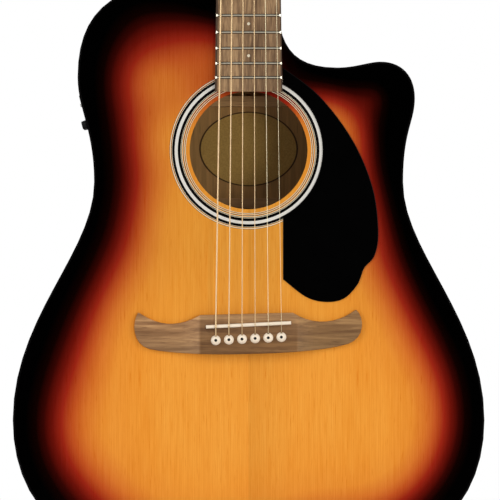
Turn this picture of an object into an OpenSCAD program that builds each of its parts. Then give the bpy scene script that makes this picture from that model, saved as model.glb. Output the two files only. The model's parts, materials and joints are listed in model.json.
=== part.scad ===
// Steel-string acoustic guitar with a rounded cutaway, a sunburst top and an onboard preamp.
// Upright: +Z runs up the neck, the soundboard faces -Y, the cutaway is on +X.
// The origin is the mouth of the output jack at the tail.

/* [Sound box] */
// Length of the sound box, from the tail to the neck joint
body_length = 507.3; // [490:0.1:520]
// Half of the width across the lower bout
lower_half = 200; // [190:1:206]
// Height of the widest line of the lower bout above the tail
lower_rise = 133; // [125:1:140]
// Half of the width across the waist
waist_half = 131; // [126:1:137]
// Height of the waist above the tail
waist_rise = 335; // [328:1:342]
// Half of the width across the upper bout
upper_half = 145; // [140:1:150]
// Height of the widest line of the upper bout above the tail
upper_rise = 424; // [419:1:429]
// Depth of the box at the tail
depth_tail = 122; // [112:1:126]
// Depth of the box at the neck joint
depth_neck = 102; // [96:1:108]
// Thickness of the soundboard
top_t = 3; // [2.6:0.1:3.4]
// Thickness of the back
back_t = 3; // [2.6:0.1:3.4]
// Thickness of the bent sides
side_t = 2.6; // [2.2:0.1:3]
// Width of the edge binding
bind_w = 1.8; // [1.4:0.1:2]
// Height of the edge binding
bind_h = 5; // [4:0.1:5.4]

/* [Soundhole and pickguard] */
// Radius of the soundhole
hole_r = 50; // [47:0.1:51]
// Distance from the end of the fingerboard down to the soundhole centre
hole_drop = 49.7; // [47:0.1:51]
// Depth of the inlaid rosette rings
inlay_t = 0.9; // [0.6:0.1:1.2]
// Thickness of the pickguard
guard_t = 1; // [0.6:0.1:1.4]

/* [Neck] */
// Vibrating length of the strings, without compensation
scale_length = 643; // [635:1:655]
// Extra length at the saddle, at the middle of the string set
compensation = 6.9; // [3:0.1:8]
// Width of the fingerboard at the nut
nut_w = 43; // [42:0.5:46]
// Width of the fingerboard at its end
board_end_w = 57.3; // [56:0.1:58]
// Thickness of the fingerboard at its middle
board_t = 6; // [5:0.1:7]
// Radius of the crowned fingerboard
board_radius = 406; // [300:1:500]
// Wood left past the last fret
board_tail = 11.9; // [10:0.1:14]
// Number of frets
fret_count = 20; // [18:1:20]
// Height of a fret above the board
fret_h = 1.1; // [0.9:0.1:1.3]
// Depth of the neck wood under the board at the nut
neck_d_nut = 14.8; // [14:0.1:17]
// Depth of the neck wood under the board by the heel
neck_d_heel = 17.5; // [16:0.1:20]
// Length of the curved heel
heel_len = 75; // [65:1:85]
// Backward tilt of the headstock
head_tilt = 13; // [10:0.5:15]
// Thickness of the headstock
head_t = 15; // [13.5:0.1:16]
// Half of the width of the headstock at its lower tuners
head_low_half = 33.5; // [32:0.5:35]
// Half of the width of the headstock near its tip
head_top_half = 36.5; // [35.5:0.5:38]
// Thickness of the face veneer on the headstock
plate_t = 1.5; // [1:0.1:2]

/* [Bridge and strings] */
// Thickness of the raised middle of the bridge
bridge_t = 8.5; // [8:0.1:9]
// Thickness of the bridge at the wing tips
wing_t = 3.2; // [2.8:0.1:4]
// Height of the saddle top above the soundboard
saddle_h = 11.8; // [11.2:0.1:12.4]
// Slant of the saddle and of the row of pins
saddle_slant = 2.8; // [2:0.1:3.4]
// Distance from one string to the next at the bridge
pitch_bridge = 11.1; // [10.6:0.1:11.4]
// Distance from one string to the next at the nut
pitch_nut = 7.1; // [6.9:0.1:7.2]
// Turns of each string on its post
turns = 2; // [2:1:3]

/* [Tuners] */
// Distance of the posts from the middle of the headstock
post_x = 24; // [23.5:0.1:25]
// Height of the first posts along the headstock
post_first = 40; // [38:1:44]
// Distance between posts
post_step = 39; // [37:1:41]
// Radius of a post
post_r = 3; // [2.8:0.05:3.1]
// Teeth of the worm wheel
wheel_teeth = 14; // [14:1:14]
// Module of the worm gearing
gear_module = 0.75; // [0.72:0.01:0.76]

/* [Preamp and jack] */
// Radius of a preamp knob
knob_r = 3.8; // [3.6:0.1:4.3]
// Height of a preamp knob above the panel
knob_h = 4.2; // [3.5:0.1:5]
// Radius of the output jack bore
jack_r = 3.25; // [3.2:0.01:3.3]
// Length of the end pin below the tail
pin_proud = 12; // [11:0.5:14]

/* [Hidden] */
$fn = 64;
// Running clearance of turning fits and assembly clearance of glued or slid-in pieces
run = 0.05;
slip = 0.15;
// Overshoot of cuts
over = 1;
// Reach of cuts past the back
beyond = 60;
// Half of the size of the blocks that cut away whole regions
reach = 320;

// Datum heights
tail_z = pin_proud;
joint_z = tail_z + body_length;
nut_z = joint_z + scale_length * (1 - pow(2, -14 / 12));
board_end_z = fret_z(20) - board_tail;
hole_z = board_end_z - hole_drop;
saddle_z = nut_z - scale_length - compensation;
y_top = -depth_tail / 2;
y_in = y_top + top_t;
y_board = y_top - board_t;
y_far = y_top + depth_tail + 20;
back_tilt = atan((depth_tail - depth_neck) / body_length);
lining_w = 7;
lining_h = 13;
brace_in = side_t + lining_w + slip;

function fret_z(n) = nut_z - scale_length * (1 - pow(2, -n / 12));
function back_y(z) = y_top + depth_tail - (depth_tail - depth_neck) * (z - tail_z) / body_length;
function board_w(z) = nut_w + (board_end_w - nut_w) * (nut_z - z) / (nut_z - board_end_z);

// Outline of the sound box as cubic curves; handles are tangent lengths
neck_left = 28;
neck_right = 24;
tail_handle = 147;
horn = [141, 406];
horn_top = [112, 437];
bay = [75, 432];
steps = 14;
leg_tail_r = [[0, 0], [tail_handle, 0], [lower_half, lower_rise - 76], [lower_half, lower_rise]];
leg_low_r = [[lower_half, lower_rise], [lower_half, lower_rise + 88],
             [waist_half, waist_rise - 60], [waist_half, waist_rise]];
leg_horn = [[waist_half, waist_rise], [waist_half, waist_rise + 44], horn - [0, 20], horn];
leg_horn_top = [horn, horn + [0, 19], horn_top + [18, 0], horn_top];
leg_bay = [horn_top, horn_top - [10, 0], bay + [16, 0], bay];
leg_cut = [bay, bay - [48, 0], [neck_right, body_length - 45], [neck_right, body_length]];
leg_shoulder = [[-neck_left, body_length], [-neck_left - 81, body_length],
                [-upper_half, upper_rise + 62], [-upper_half, upper_rise]];
leg_waist_l = [[-upper_half, upper_rise], [-upper_half, upper_rise - 27],
               [-waist_half, waist_rise + 44], [-waist_half, waist_rise]];
leg_low_l = [[-waist_half, waist_rise], [-waist_half, waist_rise - 60],
             [-lower_half, lower_rise + 88], [-lower_half, lower_rise]];
leg_tail_l = [[-lower_half, lower_rise], [-lower_half, lower_rise - 76], [-tail_handle, 0], [0, 0]];

function bez(k, t) = pow(1 - t, 3) * k[0] + 3 * t * pow(1 - t, 2) * k[1]
                   + 3 * t * t * (1 - t) * k[2] + pow(t, 3) * k[3];
function bez_dir(k, t) = unit(pow(1 - t, 2) * (k[1] - k[0]) + 2 * t * (1 - t) * (k[2] - k[1])
                              + t * t * (k[3] - k[2]));
function unit(v) = v / norm(v);
function curve(k, n) = [for (i = [0 : n - 1]) bez(k, i / n)];
// A leg of the outline moved inward by d and lifted to the tail height
function leg(k, d) = [for (i = [0 : steps - 1])
    let (p = bez(k, i / steps), u = bez_dir(k, i / steps))
    [p[0] - d * u[1], tail_z + min(p[1] + d * u[0], body_length - d)]];
function outline(d) = concat(
    leg(leg_tail_r, d), leg(leg_low_r, d), leg(leg_horn, d), leg(leg_horn_top, d),
    leg(leg_bay, d), leg(leg_cut, d), [[neck_right - d, joint_z - d]],
    leg(leg_shoulder, d), leg(leg_waist_l, d), leg(leg_low_l, d), leg(leg_tail_l, d));

// Extrudes a shape drawn in X and Z from y0 to y1
module along_y(y0, y1) {
    translate([0, y1, 0]) rotate([90, 0, 0]) linear_extrude(y1 - y0) children();
}
module rod_y(x, z, r, y0, y1) {
    translate([x, y1, z]) rotate([90, 0, 0]) cylinder(r = r, h = y1 - y0);
}
module ring_y(z, r0, r1, y0, y1) {
    difference() {
        rod_y(0, z, r1, y0, y1);
        rod_y(0, z, r0, y0 - over, y1 + over);
    }
}
module box(a, b) {
    translate(a) cube(b - a);
}
// Slab between two planes parallel to the back, measured outward from its outer face
module slab(o0, o1) {
    low = tail_z - beyond;
    high = joint_z + 2 * beyond;
    rotate([90, 0, 90]) linear_extrude(2 * reach, center = true)
        polygon([[back_y(low) + o0, low], [back_y(low) + o1, low],
                 [back_y(high) + o1, high], [back_y(high) + o0, high]]);
}
module body(d, y0, y1) {
    along_y(y0, y1) polygon(outline(d));
}
module rim(d0, d1, y0, y1) {
    along_y(y0, y1) difference() {
        polygon(outline(d0));
        polygon(outline(d1));
    }
}

// Neck joint: a dovetail tenon under the board and a truss rod above it
tenon_len = 30;
tenon_y0 = y_top + 13;
tenon_y1 = y_top + 72;
tenon_neck = 11;
tenon_end = 15;
rod_y_axis = y_top + 8;
rod_r = 2.5;
block_low = joint_z - 62;
block_half = 40;
module tenon(grow) {
    along_y(tenon_y0 - grow, tenon_y1 + grow)
        polygon([[-tenon_neck - grow, joint_z + over], [-tenon_neck - grow, joint_z],
                 [-tenon_end - grow, joint_z - tenon_len - grow],
                 [tenon_end + grow, joint_z - tenon_len - grow],
                 [tenon_neck + grow, joint_z], [tenon_neck + grow, joint_z + over]]);
}
module rod_way(r, z0, z1) {
    translate([0, rod_y_axis, z0]) cylinder(r = r, h = z1 - z0);
}

// Place of the preamp on the bass side: local x up the side, local y to the back, local z outward
pre_t = 0.43;
pre_p = bez(leg_waist_l, pre_t);
pre_u = bez_dir(leg_waist_l, pre_t);
pre_b = atan2(pre_u[0], -pre_u[1]);
pre_y = (y_top + back_y(tail_z + pre_p[1])) / 2;
pre_half = 18;
pre_y0 = -35;
pre_y1 = 35;
pre_out = 0.5;
lip = 2.5;
panel_t = 2.4;
case_d = 26;
knob_x = -6.95;
knob_ys = [-26, -12.5, 1];
button_x = 10.05;
button_y = -26;
button_r = 1.5;
button_h = 1.1;
button_travel = 0.8;
door_x = 14.2;
door_y0 = 12.5;
door_y1 = 31.5;
door_t = 1.6;
door_gap = 0.3;
cell_l = 48.5;
cell_w = 26.5;
cell_t = 17.5;
shaft_r = 1.5;
module at_preamp() {
    translate([pre_p[0], pre_y, tail_z + pre_p[1]]) rotate([0, -90 - pre_b, 0]) children();
}

// Braces
brace_w = 8;
brace_h = 13;
cross_z = hole_z - hole_r - 36;
cross_angle = 45;
bar_w = 6;
bar_h = 10;
trans_z = hole_z + hole_r + 9;
back_brace_up = 44.4;
back_brace_down = 44.1;
back_brace_step = 90.5;
back_brace_zs = [hole_z + back_brace_up, for (k = [0 : 2]) hole_z - back_brace_down - k * back_brace_step];
back_brace_w = 9;
back_brace_h = 15;
key_way = 6;
key_deep = 14;

// Bridge, drawn about the saddle height
bridge_left = [[-93.5, 10.5], [-78, 0], [-62, -4], [-41, 8.2]];
bridge_right = [[37.5, 10.2], [56, -1.5], [76, 1], [91, 12.8]];
bridge_end_r = [[91, 12.8], [99, 6], [98.5, -11.5], [84.5, -16.2]];
bridge_low_r = [[84.5, -16.2], [64, -22.4], [30, -23.95], [0, -24.7]];
bridge_low_l = [[0, -24.7], [-30, -25.45], [-64, -25], [-84, -20.6]];
bridge_end_l = [[-84, -20.6], [-99, -16.5], [-99, 2], [-93.5, 10.5]];
bridge_block = 41.5;
scoop = 22;
saddle_l = 72;
saddle_w = 3;
strip_t = 1.2;
slot_d = 6;
pin_back = 11.7;
pin_hole_r = 2.65;
pin_head_r = 4.15;
pin_head_h = 3.6;
groove_w = 1.6;
plate_half = 39;
plate_low = 30;
plate_high = 12;
plate_d = 3;
function slant(x) = x * tan(saddle_slant);
function pin_z(x) = saddle_z - pin_back + slant(x);
function string_x(i, pitch) = (i - 2.5) * pitch;
function scooped(x) = wing_t + (bridge_t - wing_t) * pow(max(0, 1 - (abs(x) - bridge_block) / scoop), 2);

// Headstock frame: its face starts just above the nut
nut_t = 5;
nut_h = board_t + fret_h + 1.7;
string_nut_h = board_t + fret_h + 0.5;
head_z = nut_z + nut_t + 1;
head_len = 168;
head_base = 21.75;
module on_head() {
    translate([0, y_top, head_z]) rotate([-head_tilt, 0, 0]) children();
}
function head_point(p) = [p[0],
    y_top + p[1] * cos(head_tilt) + p[2] * sin(head_tilt),
    head_z - p[1] * sin(head_tilt) + p[2] * cos(head_tilt)];
function head_local(p) = let (y = p[1] - y_top, z = p[2] - head_z)
    [p[0], y * cos(head_tilt) - z * sin(head_tilt), y * sin(head_tilt) + z * cos(head_tilt)];
flare = [[head_base, 2], [head_base, 14], [head_low_half, 10], [head_low_half, 26]];
corner = [[head_top_half, head_len - 24], [head_top_half, head_len - 8],
          [head_top_half - 12, head_len - 4], [0, head_len]];
head_right = concat([[head_base, -12]], curve(flare, 10), [flare[3]], curve(corner, 12), [corner[3]]);
function mirrored(pts) = [for (i = [len(pts) - 2 : -1 : 0]) [-pts[i][0], pts[i][1]]];
head_outline = concat(head_right, mirrored(head_right));
module above_nut() {
    intersection() {
        children();
        box([-reach, -reach, head_z], [reach, reach, head_z + reach]);
    }
}

// Tuners: local x points outward, local y to the back, local z up the headstock
function tuner_side(i) = i < 3 ? -1 : 1;
function tuner_row(i) = i < 3 ? i : 5 - i;
function tuner_z(i) = post_first + post_step * tuner_row(i);
module at_tuner(i) {
    on_head() translate([tuner_side(i) * post_x, 0, tuner_z(i)])
        mirror([tuner_side(i) < 0 ? 1 : 0, 0, 0]) children();
}
wheel_r = gear_module * wheel_teeth / 2;
worm_r = 3;
worm_pitch = PI * gear_module;
worm_turns = 3;
centre_gap = wheel_r + worm_r;
wheel_y0 = head_t + 2.9;
wheel_w = 3;
worm_y = wheel_y0 + wheel_w / 2;
house_t = 11;
house_in = 8.2;
house_out = 13.5;
key_r = 2;
bush_r = 4.9;
bush_hole = 5;
washer_t = 0.8;
hex_t = 2.5;
post_top = 17;
waist_r = 2.55;
wind_gap = 0.3;
wind_low = 5.4;
// Worm thread: radius by the share of a pitch from the crest
worm_root = worm_r - 0.75;
worm_tip = worm_r + 0.6;
crest_share = 0.09;
root_share = 0.26;
function share(u) = abs(u - round(u));
function worm_radius(u) = share(u) < crest_share ? worm_tip
    : share(u) > root_share ? worm_root
    : worm_tip - (worm_tip - worm_root) * (share(u) - crest_share) / (root_share - crest_share);
worm_sides = 12;
worm_rows = 24;
worm_points = [for (j = [0 : worm_rows], i = [0 : worm_sides - 1])
    let (z = (j / worm_rows - 0.5) * worm_turns * worm_pitch,
         r = j == 0 || j == worm_rows ? worm_root : worm_radius(z / worm_pitch - i / worm_sides))
    [r * cos(360 * i / worm_sides), r * sin(360 * i / worm_sides), z]];

// Closed tube of rings, with ends; every ring has n points, counterclockwise along the way
function tube_faces(rings, n) = concat(
    [[for (k = [0 : n - 1]) k]],
    [for (r = [0 : rings - 2], k = [0 : n - 1]) let (a = r * n + k, b = r * n + (k + 1) % n)
        [b + n, b, a]],
    [for (r = [0 : rings - 2], k = [0 : n - 1]) let (a = r * n + k, b = r * n + (k + 1) % n)
        [a + n, b + n, a]],
    [[for (k = [n - 1 : -1 : 0]) (rings - 1) * n + k]]);

// Strings: gauges from the lowest to the highest
gauges = [1.35, 1.07, 0.81, 0.61, 0.41, 0.3];
string_sides = 6;
ball_r = 2;
ball_h = 3.4;
pin_tip = bridge_t + top_t + plate_d;
function wind_r(i) = waist_r + wind_gap + gauges[i] / 2;
function wind_pitch(i) = gauges[i] + 0.5;
// Winding in the headstock frame: from the tangent point, up the post
function wind_start(i) = let (s = tuner_side(i),
        q = head_local([string_x(i, pitch_nut), y_top - string_nut_h, nut_z + nut_t]),
        dx = -s * q[0] + post_x, dz = q[2] - tuner_z(i),
        reach_q = sqrt(dx * dx + dz * dz))
    atan2(dz, dx) + acos(wind_r(i) / reach_q);
loop_rings = 24;
function winding(i) = let (s = tuner_side(i), a0 = wind_start(i))
    [for (k = [0 : turns * loop_rings])
        let (a = a0 + 360 * k / loop_rings)
        head_point([s * post_x - s * wind_r(i) * cos(a),
                    -plate_t - wind_low - gauges[i] / 2 - wind_pitch(i) * k / loop_rings,
                    tuner_z(i) + wind_r(i) * sin(a)])];
function wind_end(i) = let (w = winding(i), n = len(w))
    w[n - 1] + unit(w[n - 1] - w[n - 2]) * 2 * gauges[i];
function string_path(i) = let (r = gauges[i] / 2, x = string_x(i, pitch_bridge),
        xn = string_x(i, pitch_nut), zs = saddle_z + slant(x), zp = pin_z(x) + 1.75,
        ys = y_top - saddle_h - r, yn = y_top - string_nut_h - r, ye = y_top - bridge_t - 0.7 - r)
    concat([[x, y_top + top_t + plate_d, zp], [x, ye + 1.6, zp], [x, ye + 0.5, zp + 0.25],
            [x, ye, zp + 0.9], [x, ys, zs - 0.6], [x, ys, zs + 0.6],
            [xn, yn, nut_z], [xn, yn, nut_z + nut_t - 1]],
           winding(i), [wind_end(i)]);
function path_dir(p, k) = unit(p[min(k + 1, len(p) - 1)] - p[max(k - 1, 0)]);
function side_step(v, t) = unit(v - (v * t) * t);
function frames(p) = [for (k = 0, v = side_step([1, 0, 0], path_dir(p, 0)); k < len(p);
    k = k + 1, v = k < len(p) ? side_step(v, path_dir(p, k)) : v) v];
function tube_points(p, r, n) = let (f = frames(p))
    [for (k = [0 : len(p) - 1], j = [0 : n - 1])
        let (t = path_dir(p, k), v = f[k], w = cross(t, v), a = 360 * j / n)
        p[k] + r * (cos(a) * v + sin(a) * w)];
function least_gap(p, d) = min([for (a = [0 : len(p) - 2], b = [a + 1 : len(p) - 1])
    if (b - a > loop_rings / 2) norm(p[a] - p[b]) - d]);
echo(least_gap_of_windings = [for (i = [0 : 5]) least_gap(winding(i), gauges[i])]);

// Neck surface: rounded sections swept from the joint to the head
neck_cols = 16;
heel_zs = [for (k = [0 : 12]) joint_z + heel_len * pow(k / 12, 1.2)];
heel_top = joint_z + heel_len;
blend_z = nut_z - 22;
shaft_zs = concat([for (k = [0.23, 0.57]) heel_top + k * (blend_z - heel_top)],
                  [blend_z, blend_z + 9, blend_z + 18, head_z]);
neck_zs = concat(heel_zs, shaft_zs);
heel_d = 150;
head_cut_d = head_t / cos(head_tilt);
function shaft_d(z) = neck_d_nut + (neck_d_heel - neck_d_nut) * min(1, (nut_z - z) / (nut_z - heel_top));
function neck_d(z) = z > blend_z
    ? shaft_d(z) + (head_cut_d - shaft_d(z)) * (z - blend_z) / (head_z - blend_z)
    : shaft_d(z) + heel_d * pow(max(0, (heel_top - z) / heel_len), 2.4);
function roundness(z) = z > blend_z ? 1 - 0.72 * (z - blend_z) / (head_z - blend_z) : 1;
function neck_w(z) = z > nut_z ? nut_w : board_w(z) - 0.4;
neck_points = [for (z = neck_zs, k = [0 : neck_cols])
    let (c = cos(180 * k / neck_cols), s = sin(180 * k / neck_cols), e = roundness(z))
    [neck_w(z) / 2 * sign(c) * pow(abs(c), e), y_top + neck_d(z) * pow(max(0, s), e), z]];
module neck_loft() {
    polyhedron(neck_points, tube_faces(len(neck_zs), neck_cols + 1));
}

// Node to draw

// Rosette rings, inner and outer radius beyond the edge of the hole
light_rings = [[3.3, 3.7], [4.65, 5.1], [6.3, 6.75], [7.3, 7.6], [10.1, 12.7], [14.9, 15.2], [16.1, 16.7]];
dark_rings = [[3.7, 4.1], [5.1, 5.6], [6.75, 7.3], [7.6, 10.1], [12.7, 14.9], [15.2, 15.6], [16.7, 17]];
module rosette(rings) {
    for (r = rings)
        ring_y(hole_z, hole_r + r[0], hole_r + r[1], y_top, y_top + inlay_t);
}
module pin_holes(y0, y1) {
    for (i = [0 : 5])
        rod_y(string_x(i, pitch_bridge), pin_z(string_x(i, pitch_bridge)), pin_hole_r, y0, y1);
}

module soundboard() {
    color("orange") difference() {
        body(bind_w, y_top, y_in);
        rod_y(0, hole_z, hole_r, y_top - over, y_in + over);
        rosette(light_rings);
        rosette(dark_rings);
        pin_holes(y_top - over, y_in + over);
    }
}

module back_plate() {
    color("saddlebrown") intersection() {
        body(bind_w, y_in, y_far);
        slab(-back_t, 0);
    }
}

jack_z = tail_z + side_t;
barrel_r = 6;
module jack_way(r) {
    translate([0, 0, tail_z - over]) cylinder(r = r, h = 40);
}
// The bent sides are two pieces that meet at the tail and inside the neck joint
module bent_side(x0, x1) {
    color("black") difference() {
        intersection() {
            rim(0, side_t, y_in, y_far);
            box([x0, y_in, tail_z - over], [x1, y_far, joint_z + over]);
        }
        slab(-back_t, beyond);
        rim(-over, bind_w, y_top, y_top + bind_h);
        intersection() {
            rim(-over, bind_w, y_in, y_far);
            slab(-bind_h, beyond);
        }
        tenon(slip);
        rod_way(rod_r + slip, block_low, joint_z + over);
        jack_way(barrel_r + slip);
        at_preamp() box([-pre_half - slip, pre_y0 - slip, -30], [pre_half + slip, pre_y1 + slip, 20]);
    }
}
module side_bass() { bent_side(-reach, 0); }
module side_treble() { bent_side(0, reach); }

module top_binding() {
    color("black") rim(0, bind_w, y_top, y_top + bind_h);
}

module back_binding() {
    color("black") intersection() {
        rim(0, bind_w, y_in, y_far);
        slab(-bind_h, 0);
    }
}

tail_high = tail_z + 22;
tail_half = 38;
module block_space() {
    box([-block_half - slip, y_top, block_low - slip], [block_half + slip, y_far, joint_z]);
    box([-tail_half - slip, y_top, tail_z], [tail_half + slip, y_far, tail_high + slip]);
}
module linings() {
    color("burlywood") difference() {
        union() {
            rim(side_t, side_t + lining_w, y_in, y_in + lining_h);
            intersection() {
                rim(side_t, side_t + lining_w, y_in, y_far);
                slab(-back_t - lining_h, -back_t);
            }
        }
        block_space();
    }
}

module neck_block() {
    color("sienna") difference() {
        intersection() {
            body(side_t, y_in, y_far);
            box([-block_half, y_in, block_low], [block_half, y_far, joint_z]);
        }
        slab(-back_t, beyond);
        tenon(slip);
        rod_way(rod_r + slip, block_low - over, joint_z + over);
        rod_way(key_way, block_low - over, block_low + key_deep);
    }
}

module tail_block() {
    color("sienna") difference() {
        intersection() {
            body(side_t, y_in, y_far);
            box([-tail_half, y_in, tail_z], [tail_half, y_far, tail_high]);
        }
        slab(-back_t, beyond);
        jack_way(barrel_r + slip);
    }
}

module brace(angle, h, w) {
    translate([0, 0, cross_z]) rotate([0, angle, 0])
        box([-w / 2, y_in, -reach], [w / 2, y_in + h, reach]);
}
module x_braces() {
    color("wheat") {
        intersection() {
            body(brace_in, y_in, y_in + brace_h);
            difference() {
                brace(cross_angle, brace_h, brace_w);
                brace(-cross_angle, brace_h / 2, brace_w + 2 * slip);
            }
        }
        intersection() {
            body(brace_in, y_in, y_in + brace_h);
            difference() {
                brace(-cross_angle, brace_h, brace_w);
                translate([0, brace_h / 2 - slip, 0]) brace(cross_angle, brace_h, brace_w + 2 * slip);
            }
        }
    }
}

// Bars under the soundboard: centre x, centre z from the saddle, half length, tilt
bars = [[-6, -62, 62, 14], [-2, -104, 76, 14], [112, -6, 30, 24], [-112, -6, 30, -24],
        [129, -38, 26, 24], [-129, -38, 26, -24]];
module top_braces() {
    color("wheat") {
        for (b = bars)
            translate([b[0], 0, saddle_z + b[1]]) rotate([0, b[3], 0])
                box([-b[2], y_in, -bar_w / 2], [b[2], y_in + bar_h, bar_w / 2]);
        difference() {
            intersection() {
                body(brace_in, y_in, y_far);
                box([-110, y_in, trans_z - brace_w / 2], [46, y_in + brace_h + 2, trans_z + brace_w / 2]);
            }
            rod_way(key_way, trans_z - 20, trans_z + 20);
        }
    }
}

module bridge_plate() {
    color("tan") difference() {
        box([-plate_half, y_in, saddle_z - plate_low], [plate_half, y_in + plate_d, saddle_z + plate_high]);
        pin_holes(y_in - over, y_in + plate_d + over);
    }
}

module back_braces() {
    color("wheat") for (z = back_brace_zs)
        intersection() {
            body(brace_in, y_in, y_far);
            slab(-back_t - back_brace_h, -back_t);
            box([-reach, -reach, z - back_brace_w / 2], [reach, reach, z + back_brace_w / 2]);
        }
}

label_half = 43;
label_high = 32.5;
label_t = 0.3;
label_z = hole_z + 3.4;
module label() {
    color("ivory") translate([0, back_y(label_z) - back_t / cos(back_tilt), label_z])
        rotate([back_tilt, 0, 0]) along_y(-label_t, 0)
            polygon([for (a = [0 : 6 : 354]) [label_half * cos(a), label_high * sin(a)]]);
}

module rosette_light() {
    color("white") rosette(light_rings);
}

module rosette_dark() {
    color("black") rosette(dark_rings);
}

// Pickguard edge, drawn about the soundhole centre, from the lower inner corner round to the board
guard_x = 29.2;
guard_edge = [[guard_x, -109.4], [49, -124.5], [66, -128.6], [81, -125.6], [92.6, -113.5], [98, -100],
              [107, -89], [110, -68], [105, -31], [88, 9], [60, 46], [guard_x, 70]];
guard_in = 12.9;
function spline(p, i, t) = let (a = p[max(i - 1, 0)], b = p[i], c = p[i + 1], d = p[min(i + 2, len(p) - 1)])
    0.5 * (2 * b + t * (c - a) + t * t * (2 * a - 5 * b + 4 * c - d) + t * t * t * (3 * b - a - 3 * c + d));
function smooth(p, n) = concat([for (i = [0 : len(p) - 2], k = [0 : n - 1]) spline(p, i, k / n)],
                               [p[len(p) - 1]]);
module pickguard() {
    color("black") difference() {
        translate([0, 0, hole_z]) along_y(y_top - guard_t, y_top) polygon(smooth(guard_edge, 6));
        rod_y(0, hole_z, hole_r + guard_in, y_top - guard_t - over, y_top + over);
    }
}

bridge_edge = concat(curve(bridge_left, 10), [bridge_left[3]], curve(bridge_right, 10),
    curve(bridge_end_r, 8), curve(bridge_low_r, 8), curve(bridge_low_l, 8), curve(bridge_end_l, 8));
wing_xs = [bridge_block, bridge_block + scoop * 0.2, bridge_block + scoop * 0.4,
           bridge_block + scoop * 0.6, bridge_block + scoop * 0.8, bridge_block + scoop, 105];
module saddle_slot(w, l, y0, y1) {
    translate([0, 0, saddle_z]) rotate([0, -saddle_slant, 0])
        box([-l / 2, y0, -w / 2], [l / 2, y1, w / 2]);
}
module bridge() {
    color("sienna") difference() {
        intersection() {
            translate([0, 0, saddle_z]) along_y(y_top - bridge_t, y_top) polygon(bridge_edge);
            translate([0, y_top, saddle_z - 60]) linear_extrude(120)
                polygon(concat([[105, 0]], [for (i = [6 : -1 : 0]) [wing_xs[i], -scooped(wing_xs[i])]],
                    [for (i = [0 : 6]) [-wing_xs[i], -scooped(wing_xs[i])]], [[-105, 0]]));
        }
        saddle_slot(saddle_w, saddle_l, y_top - bridge_t - over, y_top - bridge_t + slot_d);
        pin_holes(y_top - bridge_t - over, y_top + over);
    }
}

crown_r = saddle_w / 2;
module saddle() {
    color("ivory") translate([0, 0, saddle_z]) rotate([0, -saddle_slant, 0]) {
        box([-saddle_l / 2, y_top - saddle_h + crown_r, -saddle_w / 2],
            [saddle_l / 2, y_top - bridge_t + slot_d - strip_t, saddle_w / 2]);
        translate([-saddle_l / 2, y_top - saddle_h + crown_r, 0]) rotate([0, 90, 0])
            cylinder(r = crown_r, h = saddle_l);
    }
}

module pickup_strip() {
    color("silver") saddle_slot(saddle_w - 0.2, saddle_l - 1, y_top - bridge_t + slot_d - strip_t,
                                y_top - bridge_t + slot_d);
}

module bridge_pin() {
    // Drawn along local z, head up
    rotate_extrude() polygon([[0, -pin_tip], [pin_hole_r - 0.4, -pin_tip], [pin_hole_r - run, 0],
        [pin_head_r, 0], [pin_head_r, 1], [pin_head_r - 0.35, 1.5], [pin_head_r - 0.5, 2],
        [pin_head_r - 1.1, 2.8], [pin_head_r - 2.2, 3.4], [0, pin_head_h]]);
}
module bridge_pins() {
    color("ivory") for (i = [0 : 5]) {
        x = string_x(i, pitch_bridge);
        translate([x, y_top - bridge_t, pin_z(x)]) difference() {
            rotate([90, 0, 0]) bridge_pin();
            box([-groove_w / 2, -2.7, 0.95], [groove_w / 2, pin_tip + over, 6]);
        }
    }
}

module neck() {
    color("peru") difference() {
        union() {
            difference() {
                neck_loft();
                slab(-cap_t, reach);
            }
            tenon(0);
        }
        box([-3, y_top - over, joint_z - over], [3, rod_y_axis + 3, nut_z - 14]);
    }
}

cap_t = 2;
module heel_cap() {
    color("black") intersection() {
        neck_loft();
        slab(-cap_t, 0);
    }
}

module headstock() {
    color("peru") difference() {
        above_nut() on_head() along_y(0, head_t) polygon(head_outline);
        for (i = [0 : 5]) {
            at_tuner(i) rod_y(0, 0, bush_hole, -over, head_t + over);
            at_tuner(i) rod_y(ear_x, ear_z, screw_r, head_t - 8, head_t + over);
        }
    }
}

module headplate() {
    color("black") difference() {
        above_nut() on_head() along_y(-plate_t, 0) polygon(head_outline);
        for (i = [0 : 5])
            at_tuner(i) rod_y(0, 0, bush_hole, -plate_t - over, over);
    }
}

tang_w = 0.6;
tang_d = 1.8;
crown_half = 1.15;
fret_in = 0.25;
fret_bevel = 60;
fret_land = 0.15;
module fingerboard() {
    color("sienna") difference() {
        intersection() {
            along_y(y_board - over, y_top)
                polygon([[-board_w(board_end_z) / 2, board_end_z], [board_w(board_end_z) / 2, board_end_z],
                         [nut_w / 2, nut_z], [-nut_w / 2, nut_z]]);
            translate([0, y_board + board_radius, board_end_z - over])
                cylinder(r = board_radius, h = nut_z - board_end_z + 2 * over, $fn = 360);
        }
        for (n = [1 : fret_count])
            box([-reach, y_board - over, fret_z(n) - tang_w / 2],
                [reach, y_board + tang_d + 1.2, fret_z(n) + tang_w / 2]);
        dots(0);
    }
}

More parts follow.
